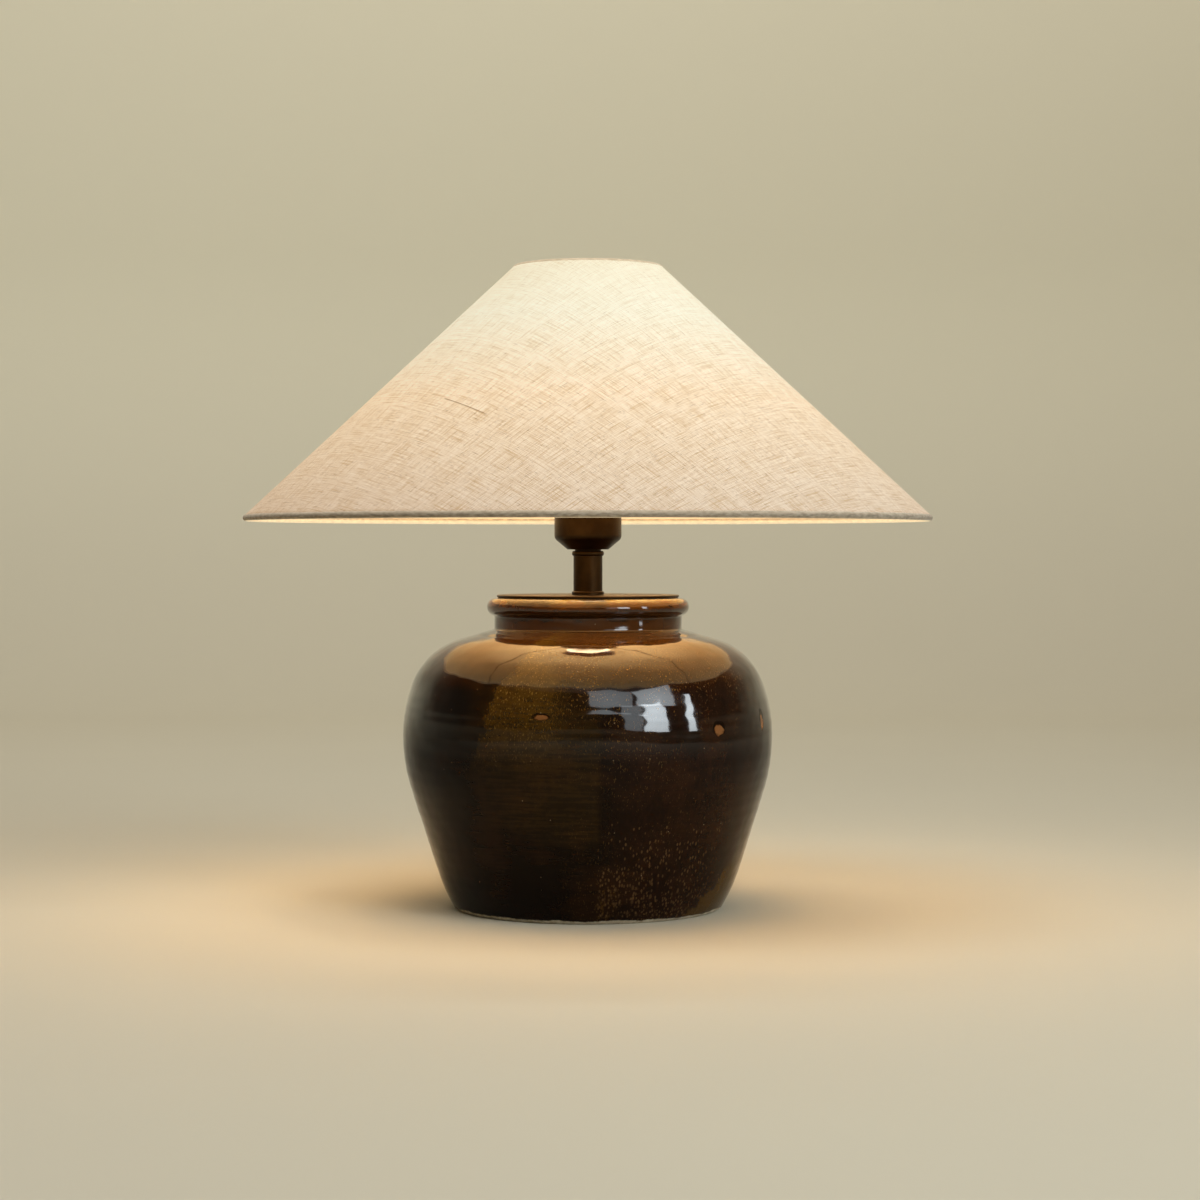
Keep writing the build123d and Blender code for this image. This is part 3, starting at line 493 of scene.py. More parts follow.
RUN_RIGHT = SEAM_OF_DIPS + radians(1), SEAM_OF_DIPS + radians(9)
RUN_TOP = 0.012, 0.036
RUST_LEFT = radians(0), radians(20)
RUST_RIGHT = radians(100), radians(172)
TOFFEE_RISE = 0.160, 0.192
SPECK_LEFT = radians(-30), SEAM_OF_DIPS + 0.2
SPECK_RIGHT = 1.9, 2.9
SPECK_RISE = 0.11, 0.18
SPECK_FADE = 0.26, 0.70
small_beads = droplets(0.0019, 0.22, 0.46, 0.085, (3, 1, 2))
large_beads = droplets(0.0040, 0.14, 0.34, 0.036, (7, 5, 1))
beads = small_beads + large_beads * 0.7
runs = until(bearing, *RUN_RIGHT) * between(streaks, 0.50, 0.62) * until(height, *RUN_TOP)
rusty = 0.35 + 0.65 * between(streaks + swing(clouds, 0.4), 0.35, 0.65)
rusty = rusty * between(bearing, *RUST_LEFT) * until(bearing, *RUST_RIGHT)
veil_grain = mottle * 0.6 + streaks * 0.4 + swing(rings, 0.5)
veil = pours * (0.55 + 0.45 * between(veil_grain, 0.36, 0.62))
thin_veil = tongue * (0.09 + 0.12 * between(rings + swing(mottle, 0.6), 0.40, 0.62))
toffee = between(height + swing(clouds, 0.02), *TOFFEE_RISE)
specks = between(grain(spot, SPECK_SIZE, 2, stretch=(1, 1, 2.4), shift=(9, 3, 1)), 0.62, 0.69)
specks = specks * between(bearing, *SPECK_LEFT) * until(bearing, *SPECK_RIGHT)
specks = specks * (0.25 + between(height, *SPECK_RISE))
specks = specks * (1 - 0.6 * between(bearing, *SPECK_FADE))

glaze_colour = tint(between(clouds + swing(rings, 0.5), 0.42, 0.70), GLAZE_BLACK, GLAZE_BROWN)
for mask, colour in (
    (rusty * 0.4, GLAZE_RUST),
    (thin_veil, GLAZE_VEIL),
    (veil, GLAZE_VEIL),
    (pours * dust * 0.75, GLAZE_GOLD),
    (foot_patch * (0.75 + 0.25 * streaks), GLAZE_OCHRE),
    (dripped * runs * 0.8, GLAZE_OCHRE),
    (dripped * beads * (0.35 + 0.75 * clouds), GLAZE_DROP),
    (toffee * 0.8 * (1 - front_pour), GLAZE_TOFFEE),
    (specks * between(clouds, 0.34, 0.56) * 0.7, GLAZE_GOLD),
):
    glaze_colour = tint(mask, glaze_colour, colour)

neck_height = rim_top - 2 * LIP_RADIUS - NECK_LENGTH
NECK_TURNS = neck_height - 0.005, neck_height + 0.003
LIP_AMBER = rim_top - 0.0100, rim_top - 0.0050
LIP_HONEY_AND_HIGHLIGHT = rim_top - 0.0038, rim_top - 0.0008
NECK_BAND = rim_top - 0.0170, rim_top - 0.0130
lip_streaks = grain(spot, LIP_STREAK_SIZE, 4, stretch=(3, 3, 1), shift=(2, 6, 1), roughness=0.6)
lip_wear = swing(lip_streaks, 0.016) + swing(clouds, 0.010)
lip_blots = between(lip_streaks * 0.5 + clouds * 0.8, 0.58, 0.76)
lip_colour = tint(between(height + lip_wear, *LIP_AMBER), GLAZE_UMBER, GLAZE_AMBER)
# The honey band along the top of the lip is partly the glaze breaking thin there and partly a
# painted highlight of the lit shade above.
lip_colour = tint(between(height + lip_wear * 0.6, *LIP_HONEY_AND_HIGHLIGHT), lip_colour, GLAZE_HONEY_AND_HIGHLIGHT)
lip_colour = tint(lip_blots * 0.85, lip_colour, GLAZE_UMBER)
lip_colour = tint(until(height + lip_wear, *NECK_BAND) * 0.35, lip_colour, GLAZE_AMBER)
thin_glaze = between(height + swing(clouds, 0.006), *NECK_TURNS)
glaze_colour = tint(thin_glaze, glaze_colour, lip_colour)

SCARS = (
    (radians(-14), 0.147, 0.0062, 0.0022),
    (radians(43), 0.137, 0.0058, 0.0050),
    (radians(68), 0.140, 0.0040, 0.0075),
    (radians(-150), 0.128, 0.0055, 0.0040),
)
scar_rim = 0
scar_pit = 0
for scar_bearing, scar_height, scar_width, scar_tall in SCARS:
    sideways = (bearing - scar_bearing) * (BELLY_RADIUS / scar_width)
    upright = (height - scar_height) / scar_tall
    spread = sideways * sideways + upright * upright + swing(mottle, 1.8)
    scar_rim = scar_rim + until(spread, 0.9, 1.5)
    scar_pit = scar_pit + until(spread + upright * 0.5, 0.25, 0.7)
glaze_colour = tint(scar_rim * 0.8, glaze_colour, GLAZE_BLACK)
glaze_colour = tint(scar_pit * 0.9, glaze_colour, GLAZE_SCAR)

PINS_PER_METRE = 160.0
WIPED_FOOT = 0.0022, 0.0031
pins, pin_choice = cells(spot, PINS_PER_METRE)
pinholes = until(pins, 0.04, 0.09) * between(pin_choice, 0.80, 0.83)
glaze_colour = tint(pinholes * 0.45, glaze_colour, PINHOLE)
bare = until(height + swing(clouds, 0.0045) + swing(mottle, 0.0012), *WIPED_FOOT)
clay_colour = tint(between(mottle, 0.35, 0.65), BARE_CLAY, SANDY_CLAY)
glaze_colour = tint(bare, glaze_colour, clay_colour)

LOW_GLOSS = 0.04
GLOSS_RISE = 0.112, 0.150
SHOULDER_DULL = 0.158, 0.172
glaze_gloss = (1 - bare) * (1 - scar_rim * 0.6) * (1 - pinholes * 0.5)
glaze_gloss = glaze_gloss * (LOW_GLOSS + (1 - LOW_GLOSS) * between(height, *GLOSS_RISE))
glaze_gloss = glaze_gloss * (1 - 0.25 * dust * pours)
glaze_gloss = glaze_gloss * (1 - 0.38 * between(height, *SHOULDER_DULL))
glaze_height = rings * 0.25 + mottle * 0.12 + clouds * 0.6
glaze_height = glaze_height - pinholes * 1.2 - bare * 1.5 - scar_rim * 0.9
lay_on(
    glaze,
    Base_Color=glaze_colour,
    Roughness=0.10 + bare * 0.75,
    Normal=relief(glaze_height, 0.10, 0.0016),
    IOR=1.16,
    Coat_Weight=glaze_gloss,
    Coat_IOR=1.62,
    Coat_Roughness=0.06,
)
jar.data.materials.append(glaze)


def dress(material, *names):
    """Gives solids that keep their shape their finish."""
    for name in names:
        mesh = nodes[name].data
        mesh.materials.clear()
        mesh.materials.append(material)


# Cord grommet: a black rubber bush pushed into the drilled hole low in the jar's back. The pads on
# the clamp bar inside the jar are cut from the same rubber.
RUBBER_BLACK = (0.012, 0.011, 0.010, 1)
RUBBER_BLOOM = (0.030, 0.028, 0.025, 1)
rubber, spot = new_finish("rubber")
rubber_bloom = grain(spot, 0.004, 4)
rubber_grain = grain(spot, 0.0004, 3)
lay_on(
    rubber,
    Base_Color=tint(between(rubber_bloom, 0.35, 0.7), RUBBER_BLACK, RUBBER_BLOOM),
    Roughness=0.55 + rubber_bloom * 0.25,
    Normal=relief(rubber_grain, 0.15, 0.0002),
)
dress(rubber, "cord_grommet", "clamp_pads")

# Felt ring: a thin washer of dark felt glued under the cap, so that metal doesn't grind on the
# glazed lip. Its edges are soft and a little fuzzy.
FELT_EDGE_BULGE = 0.00015
FELT_INNER_RADIUS = 0.0614
FELT_STEPS = 160
FELT_DARK = (0.010, 0.009, 0.008, 1)
FELT_PALE = (0.040, 0.034, 0.028, 1)
felt_low, felt_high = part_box("cap_felt_ring")
felt_middle = (felt_low.z + felt_high.z) / 2
felt_outline = [
    (FELT_INNER_RADIUS, felt_low.z),
    (felt_high.x, felt_low.z),
    (felt_high.x + FELT_EDGE_BULGE, felt_middle),
    (felt_high.x, felt_high.z),
    (FELT_INNER_RADIUS, felt_high.z),
    (FELT_INNER_RADIUS - FELT_EDGE_BULGE, felt_middle),
]
felt_shape = turned(felt_outline, FELT_STEPS)
felt_ring = piece(felt_shape, "felt_ring", "base", "felt", "cap_felt_ring")
felt, spot = new_finish("felt")
fibres = grain(spot, 0.0006, 5, roughness=0.7)
lay_on(
    felt,
    Base_Color=tint(fibres, FELT_DARK, FELT_PALE),
    Roughness=0.95,
    Normal=relief(fibres, 0.5, 0.0003),
    Sheen_Weight=0.3,
)
felt_ring.data.materials.append(felt)

# Cap, stem and cup: turned and spun steel in a dark bronze paint, satin, with fine marks of the
# lathe. The cap closes the jar's mouth, the stem stands on it and carries the cup.
BRONZE_DARK = (0.026, 0.0135, 0.0046, 1)
BRONZE_PALE = (0.040, 0.022, 0.0080, 1)
bronze, spot = new_finish("dark_bronze")
bronze_clouds = grain(spot, 0.012, 4)
bronze_grain = grain(spot, 0.0005, 3)
lathe_marks = grain(spot, 0.0006, 2, stretch=(30, 30, 1))
lay_on(
    bronze,
    Base_Color=tint(between(bronze_clouds, 0.3, 0.7), BRONZE_DARK, BRONZE_PALE),
    Roughness=0.32 + bronze_clouds * 0.14 + swing(lathe_marks, 0.10),
    Metallic=0.95,
    Normal=relief(bronze_grain * 0.6 + lathe_marks * 0.4, 0.06, 0.0002),
)
dress(bronze, "cap_plate", "stem_lower_collar", "stem_tube", "stem_upper_collar", "socket_cup")

# Clamp and tube: zinc-plated steel. The nut draws the bar up under the shoulder, and the hollow
# tube runs through everything up to the lampholder.
ZINC_DARK = (0.36, 0.355, 0.34, 1)
ZINC_PALE = (0.60, 0.59, 0.56, 1)
zinc, spot = new_finish("zinc_plate")
zinc_spangle = grain(spot, 0.003, 5, roughness=0.65)
zinc_brush = grain(spot, 0.0005, 3, stretch=(1, 20, 1))
lay_on(
    zinc,
    Base_Color=tint(zinc_spangle, ZINC_DARK, ZINC_PALE),
    Roughness=0.28 + zinc_spangle * 0.2,
    Metallic=1.0,
    Normal=relief(zinc_brush, 0.12, 0.0002),
)
dress(zinc, "clamp_bar", "clamp_washer", "clamp_nut", "threaded_tube", "grub_screw")

# Lampholder: a moulded black base and skirt, a porcelain insert with brass contacts, and the
# screw shell that takes the bulb. The two ribbed rings on the skirt's thread clamp the shade.
MOULDED_DARK = (0.012, 0.0115, 0.011, 1)
MOULDED_PALE = (0.024, 0.023, 0.021, 1)
moulded, spot = new_finish("black_moulding")
moulded_grain = grain(spot, 0.0007, 4)
moulded_clouds = grain(spot, 0.010, 3)
lay_on(
    moulded,
    Base_Color=tint(moulded_clouds, MOULDED_DARK, MOULDED_PALE),
    Roughness=0.38 + moulded_grain * 0.2,
    Normal=relief(moulded_grain, 0.12, 0.0002),
)
dress(moulded, "tube_end_bush", "lampholder_base", "lampholder_skirt")
dress(moulded, "lower_shade_ring", "upper_shade_ring")

PORCELAIN_WHITE = (0.80, 0.78, 0.72, 1)
PORCELAIN_SPECK = (0.62, 0.58, 0.50, 1)
porcelain, spot = new_finish("porcelain")
porcelain_specks = grain(spot, 0.0012, 4)
lay_on(
    porcelain,
    Base_Color=tint(between(porcelain_specks, 0.58, 0.72), PORCELAIN_WHITE, PORCELAIN_SPECK),
    Roughness=0.35 + porcelain_specks * 0.15,
    Normal=relief(porcelain_specks, 0.08, 0.0003),
)
dress(porcelain, "lampholder_insert")

BRASS_BRIGHT = (0.62, 0.42, 0.16, 1)
BRASS_TARNISH = (0.40, 0.25, 0.09, 1)
brass, spot = new_finish("brass")
brass_tarnish = grain(spot, 0.004, 4)
brass_grain = grain(spot, 0.0004, 3, stretch=(8, 8, 1))
lay_on(
    brass,
    Base_Color=tint(brass_tarnish, BRASS_BRIGHT, BRASS_TARNISH),
    Roughness=0.22 + brass_tarnish * 0.2,
    Metallic=1.0,
    Normal=relief(brass_grain, 0.08, 0.0002),
)
dress(brass, "terminal_screws", "screw_shell", "centre_contact", "bulb_contact")

# Bulb: a rolled aluminium screw cap on a dark glass insulator, a white plastic housing and an opal
# globe over the ring of small chips on the board. It is switched on.
ALUMINIUM_DULL = (0.66, 0.66, 0.65, 1)
ALUMINIUM_BRIGHT = (0.80, 0.80, 0.78, 1)
aluminium, spot = new_finish("rolled_aluminium")
aluminium_grain = grain(spot, 0.0006, 3, stretch=(16, 16, 1))
lay_on(
    aluminium,
    Base_Color=tint(aluminium_grain, ALUMINIUM_DULL, ALUMINIUM_BRIGHT),
    Roughness=0.22 + aluminium_grain * 0.18,
    Metallic=1.0,
    Normal=relief(aluminium_grain, 0.08, 0.0002),
)
dress(aluminium, "bulb_cap")

VITRITE_DARK = (0.010, 0.010, 0.014, 1)
VITRITE_PALE = (0.028, 0.026, 0.034, 1)
vitrite, spot = new_finish("dark_vitrite")
vitrite_swirl = grain(spot, 0.003, 3)
lay_on(
    vitrite,
    Base_Color=tint(vitrite_swirl, VITRITE_DARK, VITRITE_PALE),
    Roughness=0.10 + vitrite_swirl * 0.1,
)
dress(vitrite, "bulb_insulator")

MOULDING_CREAM = (0.80, 0.79, 0.75, 1)
MOULDING_WHITE = (0.86, 0.85, 0.82, 1)
white_moulding, spot = new_finish("white_moulding")
white_clouds = grain(spot, 0.008, 3)
white_grain = grain(spot, 0.0006, 3)
lay_on(
    white_moulding,
    Base_Color=tint(white_clouds, MOULDING_CREAM, MOULDING_WHITE),
    Roughness=0.35 + white_grain * 0.12,
    Normal=relief(white_grain, 0.05, 0.0002),
)
dress(white_moulding, "led_board")

GLOBE_GLOW = 20.0
GLOBE_RISE = -0.006, 0.016
OPAL_CREAM = (0.86, 0.83, 0.76, 1)
OPAL_WHITE = (0.92, 0.90, 0.84, 1)
OPAL_GLOW_LOW = (0.74, 0.46, 0.22, 1)
OPAL_GLOW_HIGH = (1.0, 0.78, 0.50, 1)
globe_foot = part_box("bulb_globe")[0].z
opal, spot = new_finish("lit_opal")
globe_share = between(along(spot, UP), globe_foot + GLOBE_RISE[0], globe_foot + GLOBE_RISE[1])
globe_mist = grain(spot, 0.006, 2)
lay_on(
    opal,
    Base_Color=tint(globe_mist, OPAL_CREAM, OPAL_WHITE),
    Roughness=0.45 + globe_mist * 0.1,
    Emission_Color=tint(globe_share, OPAL_GLOW_LOW, OPAL_GLOW_HIGH),
    Emission_Strength=GLOBE_GLOW,
)
dress(opal, "bulb_globe")

HOUSING_GLOW = 19.0
HOUSING_UNLIT = 0.008
HOUSING_GLOW_LOW = (0.02, 0.014, 0.008, 1)
HOUSING_GLOW_HIGH = (1.0, 0.76, 0.46, 1)
housing_low, housing_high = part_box("bulb_housing")
lit_moulding, spot = new_finish("lit_moulding")
housing_share = between(along(spot, UP), housing_low.z + HOUSING_UNLIT, housing_high.z)
housing_clouds = grain(spot, 0.008, 3)
lay_on(
    lit_moulding,
    Base_Color=tint(housing_clouds, MOULDING_CREAM, MOULDING_WHITE),
    Roughness=0.40 + housing_clouds * 0.10,
    Emission_Color=tint(housing_share, HOUSING_GLOW_LOW, HOUSING_GLOW_HIGH),
    Emission_Strength=HOUSING_GLOW,
)
dress(lit_moulding, "bulb_housing")

# Shade frame: white coated wire. Three straight arms are welded between the bottom ring and the
# flat fitter ring, and a second wire ring stiffens the top.
COAT_WHITE = (0.74, 0.71, 0.64, 1)
COAT_YELLOWED = (0.60, 0.56, 0.48, 1)
coated_wire, spot = new_finish("coated_wire")
coat_clouds = grain(spot, 0.006, 4)
lay_on(
    coated_wire,
    Base_Color=tint(between(coat_clouds, 0.35, 0.7), COAT_WHITE, COAT_YELLOWED),
    Roughness=0.40 + coat_clouds * 0.15,
    Normal=relief(coat_clouds, 0.05, 0.0003),
)
dress(coated_wire, "shade_bottom_ring", "shade_top_ring", "shade_fitter", "shade_arms")

# Shade cover: slubby cream linen glued on a stiff white backing, cut as one fan-shaped sheet and
# lapped along a straight seam at the back. Its grain lies at half a right angle to the front.
SHEET = 0.0008
SEAM_LAP = 0.012
SEAM_STEP = 0.0006
SEAM_SHORT = 0.0004
SEAM_CUTS = 9
COVER_STEPS = 240
COVER_ROWS = 60
WIRE_RADIUS = 0.0012
WIRE_GAP = 0.00005
HEM_RADIUS = 0.0025
HEM_OUTER = 0.250
CROWN_OUTER = 0.055
FACING_OUT = 0.2
hem_low, hem_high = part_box("bottom_binding")
crown_low, crown_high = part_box("top_binding")
cover_low, cover_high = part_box("shade_cover")
hem_centre = Vector((HEM_OUTER - HEM_RADIUS, hem_low.z + HEM_RADIUS))
crown_centre = Vector((CROWN_OUTER - HEM_RADIUS, crown_high.z - HEM_RADIUS))
slant_way = (crown_centre - hem_centre).normalized()
slant_out = Vector((slant_way.y, -slant_way.x))
sheet_back = WIRE_RADIUS + WIRE_GAP
hem_inner = hem_centre + slant_out * sheet_back
crown_inner = crown_centre + slant_out * sheet_back
apex_height = hem_inner.y + hem_inner.x * slant_way.y / -slant_way.x
fan_share = -slant_way.x


def fan_place(point, side):
    """Where a point of the cone lies on the flat fan that the sheet was cut as."""
    reach = hypot(hypot(point.x, point.y), apex_height - point.z)
    turn = atan2(point.x, -point.y)
    if turn * side < 0 and abs(turn) > pi / 2:
        turn += 2 * pi * side
    turn *= fan_share
    return Vector((reach * sin(turn), -reach * cos(turn)))


cover_outline = [hem_inner.lerp(crown_inner, row / COVER_ROWS) for row in range(COVER_ROWS + 1)]
cover_outline += [point + slant_out * SHEET for point in reversed(cover_outline)]
cover_shape = turned([tuple(point) for point in cover_outline], COVER_STEPS)
bmesh.ops.rotate(cover_shape, verts=cover_shape.verts, matrix=Matrix.Rotation(pi / 2, 3, "Z"))
fan_layer = cover_shape.loops.layers.uv.new("fan")
for face in cover_shape.faces:
    middle = face.calc_center_median()
    outward = Vector((middle.x, middle.y, 0)).normalized() * slant_out.x
    outward += Vector((0, 0, slant_out.y))
    face.material_index = 0 if face.normal.dot(outward) > FACING_OUT else 1
    side = 1 if middle.x >= 0 else -1
    for loop in face.loops:
        loop[fan_layer].uv = fan_place(loop.vert.co, side)
cover = piece(cover_shape, "linen_cover", "shade", "linen", "shade_cover")

seam_shape = bmesh.new()
seam_ends = [hem_inner + slant_way * SEAM_SHORT, crown_inner - slant_way * SEAM_SHORT]
seam_corners = []
for end in seam_ends:
    face_radius = end.x + slant_out.x * SHEET
    face_height = end.y + slant_out.y * SHEET
    for sideways in (-SEAM_LAP / 2, SEAM_LAP / 2):
        swung = sideways / face_radius
        corner = (sin(swung) * face_radius, cos(swung) * face_radius, face_height)
        seam_corners.append(seam_shape.verts.new(corner))
seam_shape.faces.new((seam_corners[0], seam_corners[1], seam_corners[3], seam_corners[2]))
seam_edges = seam_shape.edges
bmesh.ops.subdivide_edges(seam_shape, edges=seam_edges, cuts=SEAM_CUTS, use_grid_fill=True)
bmesh.ops.recalc_face_normals(seam_shape, faces=seam_shape.faces)
seam_fan = seam_shape.loops.layers.uv.new("fan")
for face in seam_shape.faces:
    for loop in face.loops:
        loop[seam_fan].uv = fan_place(loop.vert.co, 1)
seam = piece(seam_shape, "linen_seam", "shade", "linen")
lap = seam.modifiers.new("lap", "SOLIDIFY")
lap.thickness = SEAM_STEP
lap.offset = 0.0

BIAS = radians(45)
THREAD = 0.0008
linen, fan = new_finish("lit_linen", "UV")
warp_place = fan.node("Mapping", {"Vector": fan, "Rotation": (0, 0, BIAS)})


def thread_waves(axis):
    """The rise and fall of the threads that lie across one way of the weave."""
    return fan.maths("SINE", along(warp_place, axis) * (2 * pi / THREAD))


def yarns(width, length, shift, low, high):
    """Thick places in the yarns of both directions, as thin streaks along the weave."""
    warp = grain(warp_place, width, 2, (1, length, 1), shift, roughness=0.55)
    weft = grain(warp_place, width, 2, (length, 1, 1), shift[::-1], roughness=0.55)
    return between(warp, low, high) + between(weft, low, high)


def up_the_cover(layer):
    """How far up the cover a place lies, 0 at its hem and 1 at its crown."""
    rise = along(layer.node("TexCoord", {}, out="Object"), UP)
    return (rise - cover_low.z) / (cover_high.z - cover_low.z)


THREAD_TONE = (0.73, 0.60, 0.44, 1)
SLUB_TONE = (0.48, 0.35, 0.23, 1)
LINEN = (0.40, 0.40, 0.36, 1)
LINEN_GLOW = (
    (0.0, (0.440, 0.296, 0.188, 1)),
    (0.45, (0.690, 0.500, 0.304, 1)),
    (0.78, (0.632, 0.576, 0.420, 1)),
    (1.0, (0.615, 0.536, 0.354, 1)),
)
WEAVE_FADES = 0.30, 0.95
weave = thread_waves(ACROSS) * thread_waves(BACK)
fine_yarns = yarns(0.00042, 90, (3, 0, 0), 0.48, 0.60)
yarn_hatch = yarns(0.00060, 42, (7, 1, 0), 0.54, 0.61)
dark_slubs = yarns(0.00062, 11, (1, 5, 0), 0.645, 0.685)
long_slubs = yarns(0.0006, 60, (11, 2, 0), 0.70, 0.73)
tufts = grain(warp_place, 0.004, 4, roughness=0.6)
height_up = up_the_cover(fan)
show = 1 - 0.6 * between(height_up, *WEAVE_FADES)
hatch = (fine_yarns * 0.36 + yarn_hatch * 0.66 + swing(tufts, 0.35)) * show
slub_mask = (dark_slubs * 0.75 + long_slubs * 0.9) * show


def on_cone(bearing, height):
    """The point of the sheet's inner face at a bearing from the front and a height."""
    radius = hem_inner.x * (apex_height - height) / (apex_height - hem_inner.y)
    return Vector((radius * sin(bearing), -radius * cos(bearing), height))


STRAY_YARN_WIDTH = 0.0005
STRAY_YARN_EDGE = 0.5 * STRAY_YARN_WIDTH, 1.2 * STRAY_YARN_WIDTH
STRAY_YARN_STARTS = 0, 0.002
STRAY_YARN_TAIL = 0.008
stray_start = fan_place(on_cone(radians(-36.3), 0.3635), -1)
stray_run = fan_place(on_cone(radians(-21.3), 0.350), -1) - stray_start
stray_way = stray_run.normalized()
fan_u = along(fan, ACROSS) - stray_start.x
fan_v = along(fan, BACK) - stray_start.y
stray_along = fan_u * stray_way.x + fan_v * stray_way.y
stray_off = fan.maths("ABSOLUTE", fan_v * stray_way.x - fan_u * stray_way.y)
stray_yarn = until(stray_off, *STRAY_YARN_EDGE)
stray_yarn = stray_yarn * between(stray_along, *STRAY_YARN_STARTS)
stray_yarn = stray_yarn * until(stray_along, stray_run.length - STRAY_YARN_TAIL, stray_run.length)
slub_mask = slub_mask + stray_yarn * 0.9


def woven(colour):
    """A colour of the cloth with its darker threads and slubs."""
    threads = tint(hatch, colour, THREAD_TONE, "MULTIPLY")
    return tint(slub_mask, threads, SLUB_TONE, "MULTIPLY")


lay_on(
    linen,
    Base_Color=woven(LINEN),
    Roughness=0.9,
    Normal=relief(weave * 0.2 + hatch * 0.5 + slub_mask, 0.25, 0.0004),
    Emission_Color=woven(height_up.node("ValToRGB", {"Fac": height_up}, stops=LINEN_GLOW)),
    Emission_Strength=1.0,
    Sheen_Weight=0.04,
)

LINING_GLOW = 3.4
LINING_CREAM = (0.78, 0.72, 0.58, 1)
LINING_PALE = (0.84, 0.78, 0.64, 1)
LINING_WARMTH = (
    (0.0, (0.21, 0.165, 0.095, 1)),
    (0.06, (0.20, 0.130, 0.055, 1)),
    (0.30, (0.34, 0.165, 0.046, 1)),
    (0.70, (1.0, 0.58, 0.21, 1)),
)
lining, fan = new_finish("lit_lining", "UV")
lining_up = up_the_cover(fan)
lay_on(
    lining,
    Base_Color=tint(grain(fan, 0.003, 4), LINING_CREAM, LINING_PALE),
    Roughness=0.6,
    Emission_Color=lining_up.node("ValToRGB", {"Fac": lining_up}, stops=LINING_WARMTH),
    Emission_Strength=LINING_GLOW,
)
cover.data.materials.append(linen)
cover.data.materials.append(lining)
seam.data.materials.append(linen)

# Bindings: straight strips of the same linen, rolled over the wire and the raw edge of the sheet at
# the hem and at the crown, and glued. Being thick, they let little of the bulb's light through.
BINDING_SIDES = 20
HEM_STEPS = 360
CROWN_STEPS = 160
BINDING_LINEN = (0.38, 0.315, 0.235, 1)
BINDING_SLUB = (0.22, 0.175, 0.118, 1)
BULB_SIDE_GLOW = (0.72, 0.60, 0.38, 1)
HEM_GLOW = (0.26, 0.200, 0.135, 1)
CROWN_GLOW = (0.44, 0.335, 0.205, 1)
UNLIT = (0, 0, 0, 1)
BULB_SIDE = 0.0002, 0.0020
HEM_DARK_BELOW = 0.0004
PAST_HEM = 0.01
BELOW_CROWN = 0.02, 0.01
binding_linen, spot = new_finish("binding_linen")
binding_weave = grain(spot, 0.0007, 3, roughness=0.6)
binding_slubs = grain(spot, 0.0016, 4, stretch=(3, 3, 1))
strip_x, strip_y, strip_z = (along(spot, axis) for axis in (ACROSS, BACK, UP))
strip_radius = spot.maths("POWER", strip_x * strip_x + strip_y * strip_y, 0.5)
inside_cone = (hem_centre.x - strip_radius) * slant_out.x + (hem_centre.y - strip_z) * slant_out.y
hem_roll = between(strip_z, hem_centre.y - HEM_DARK_BELOW, hem_high.z)
hem_roll = hem_roll * until(strip_z, hem_high.z, hem_high.z + PAST_HEM)
crown_roll = between(strip_z, crown_low.z - BELOW_CROWN[0], crown_low.z - BELOW_CROWN[1])
roll_glow = tint(crown_roll, tint(hem_roll, UNLIT, HEM_GLOW), CROWN_GLOW)
lay_on(
    binding_linen,
    Emission_Color=tint(between(inside_cone, *BULB_SIDE), roll_glow, BULB_SIDE_GLOW),
    Emission_Strength=1.0,
    Base_Color=tint(between(binding_slubs, 0.3, 0.7), BINDING_LINEN, BINDING_SLUB),
    Roughness=0.95,
    Normal=relief(binding_weave * 0.6 + binding_slubs * 0.5, 0.5, 0.0006),
    Sheen_Weight=0.2,
)
PINCH = 0.04
PINCHES_ROUND = 9
PINCHES_UP = 300


def rolled(name, centre, node, steps):
    """A strip rolled to a bead about a wire ring, a little uneven along its length."""
    sides = range(BINDING_SIDES)
    shape = turned([on_arc(centre, HEM_RADIUS, 2 * pi * i / BINDING_SIDES) for i in sides], steps)
    for vert in shape.verts:
        around = atan2(vert.co.y, vert.co.x)
        ways = (cos(around) * PINCHES_ROUND, sin(around) * PINCHES_ROUND, vert.co.z * PINCHES_UP)
        pinch = (1 - PINCH) + PINCH * noise.noise(Vector(ways))
        radial = Vector((cos(around), sin(around), 0))
        core = radial * centre[0] + Vector((0, 0, centre[1]))
        vert.co = core + (vert.co - core) * pinch
    strip = piece(shape, name, "shade", "linen_trim", node)
    strip.data.materials.append(binding_linen)
    return strip


hem_strip = rolled("hem_binding", hem_centre, "bottom_binding", HEM_STEPS)
crown_strip = rolled("crown_binding", crown_centre, "top_binding", CROWN_STEPS)

# Stage: a round pale floor that sweeps up into a plain wall on all sides, paler behind the lamp and
# dark high up. Soft boxes give plain daylight from the right and from above, and light the wall
# behind and the floor in front.
STAGE_RADIUS = 4.0
STAGE_BACK = 3.0
STAGE_SWEEP = 0.8
STAGE_TOP = 3.5
STAGE_STEPS = 96
SWEEP_STEP = 0.05
FLOOR_PALE = (0.60, 0.550, 0.430, 1)
FLOOR_SOFT = (0.62, 0.570, 0.445, 1)
FLOOR_CLOUD_SIZE = 0.4
WALL_BEHIND = (0.80, 0.755, 0.59, 1)
WALL_LOW = (0.46, 0.430, 0.345, 1)
WALL_HIGH = (0.16, 0.150, 0.125, 1)
WALL_DARKENS = 0.25, 0.9
WALL_PALES = 1.2, 2.4
stage_shape = bmesh.new()
sweep_centre = (STAGE_RADIUS - STAGE_SWEEP, STAGE_SWEEP)
sweep = arc(sweep_centre, STAGE_SWEEP, -pi / 2, 0, SWEEP_STEP)
stage_line = [(0, 0)] + sweep + [(STAGE_RADIUS, STAGE_TOP)]
stage_verts = [stage_shape.verts.new((radius, 0, height)) for radius, height in stage_line]
stage_edges = [stage_shape.edges.new(pair) for pair in zip(stage_verts, stage_verts[1:])]
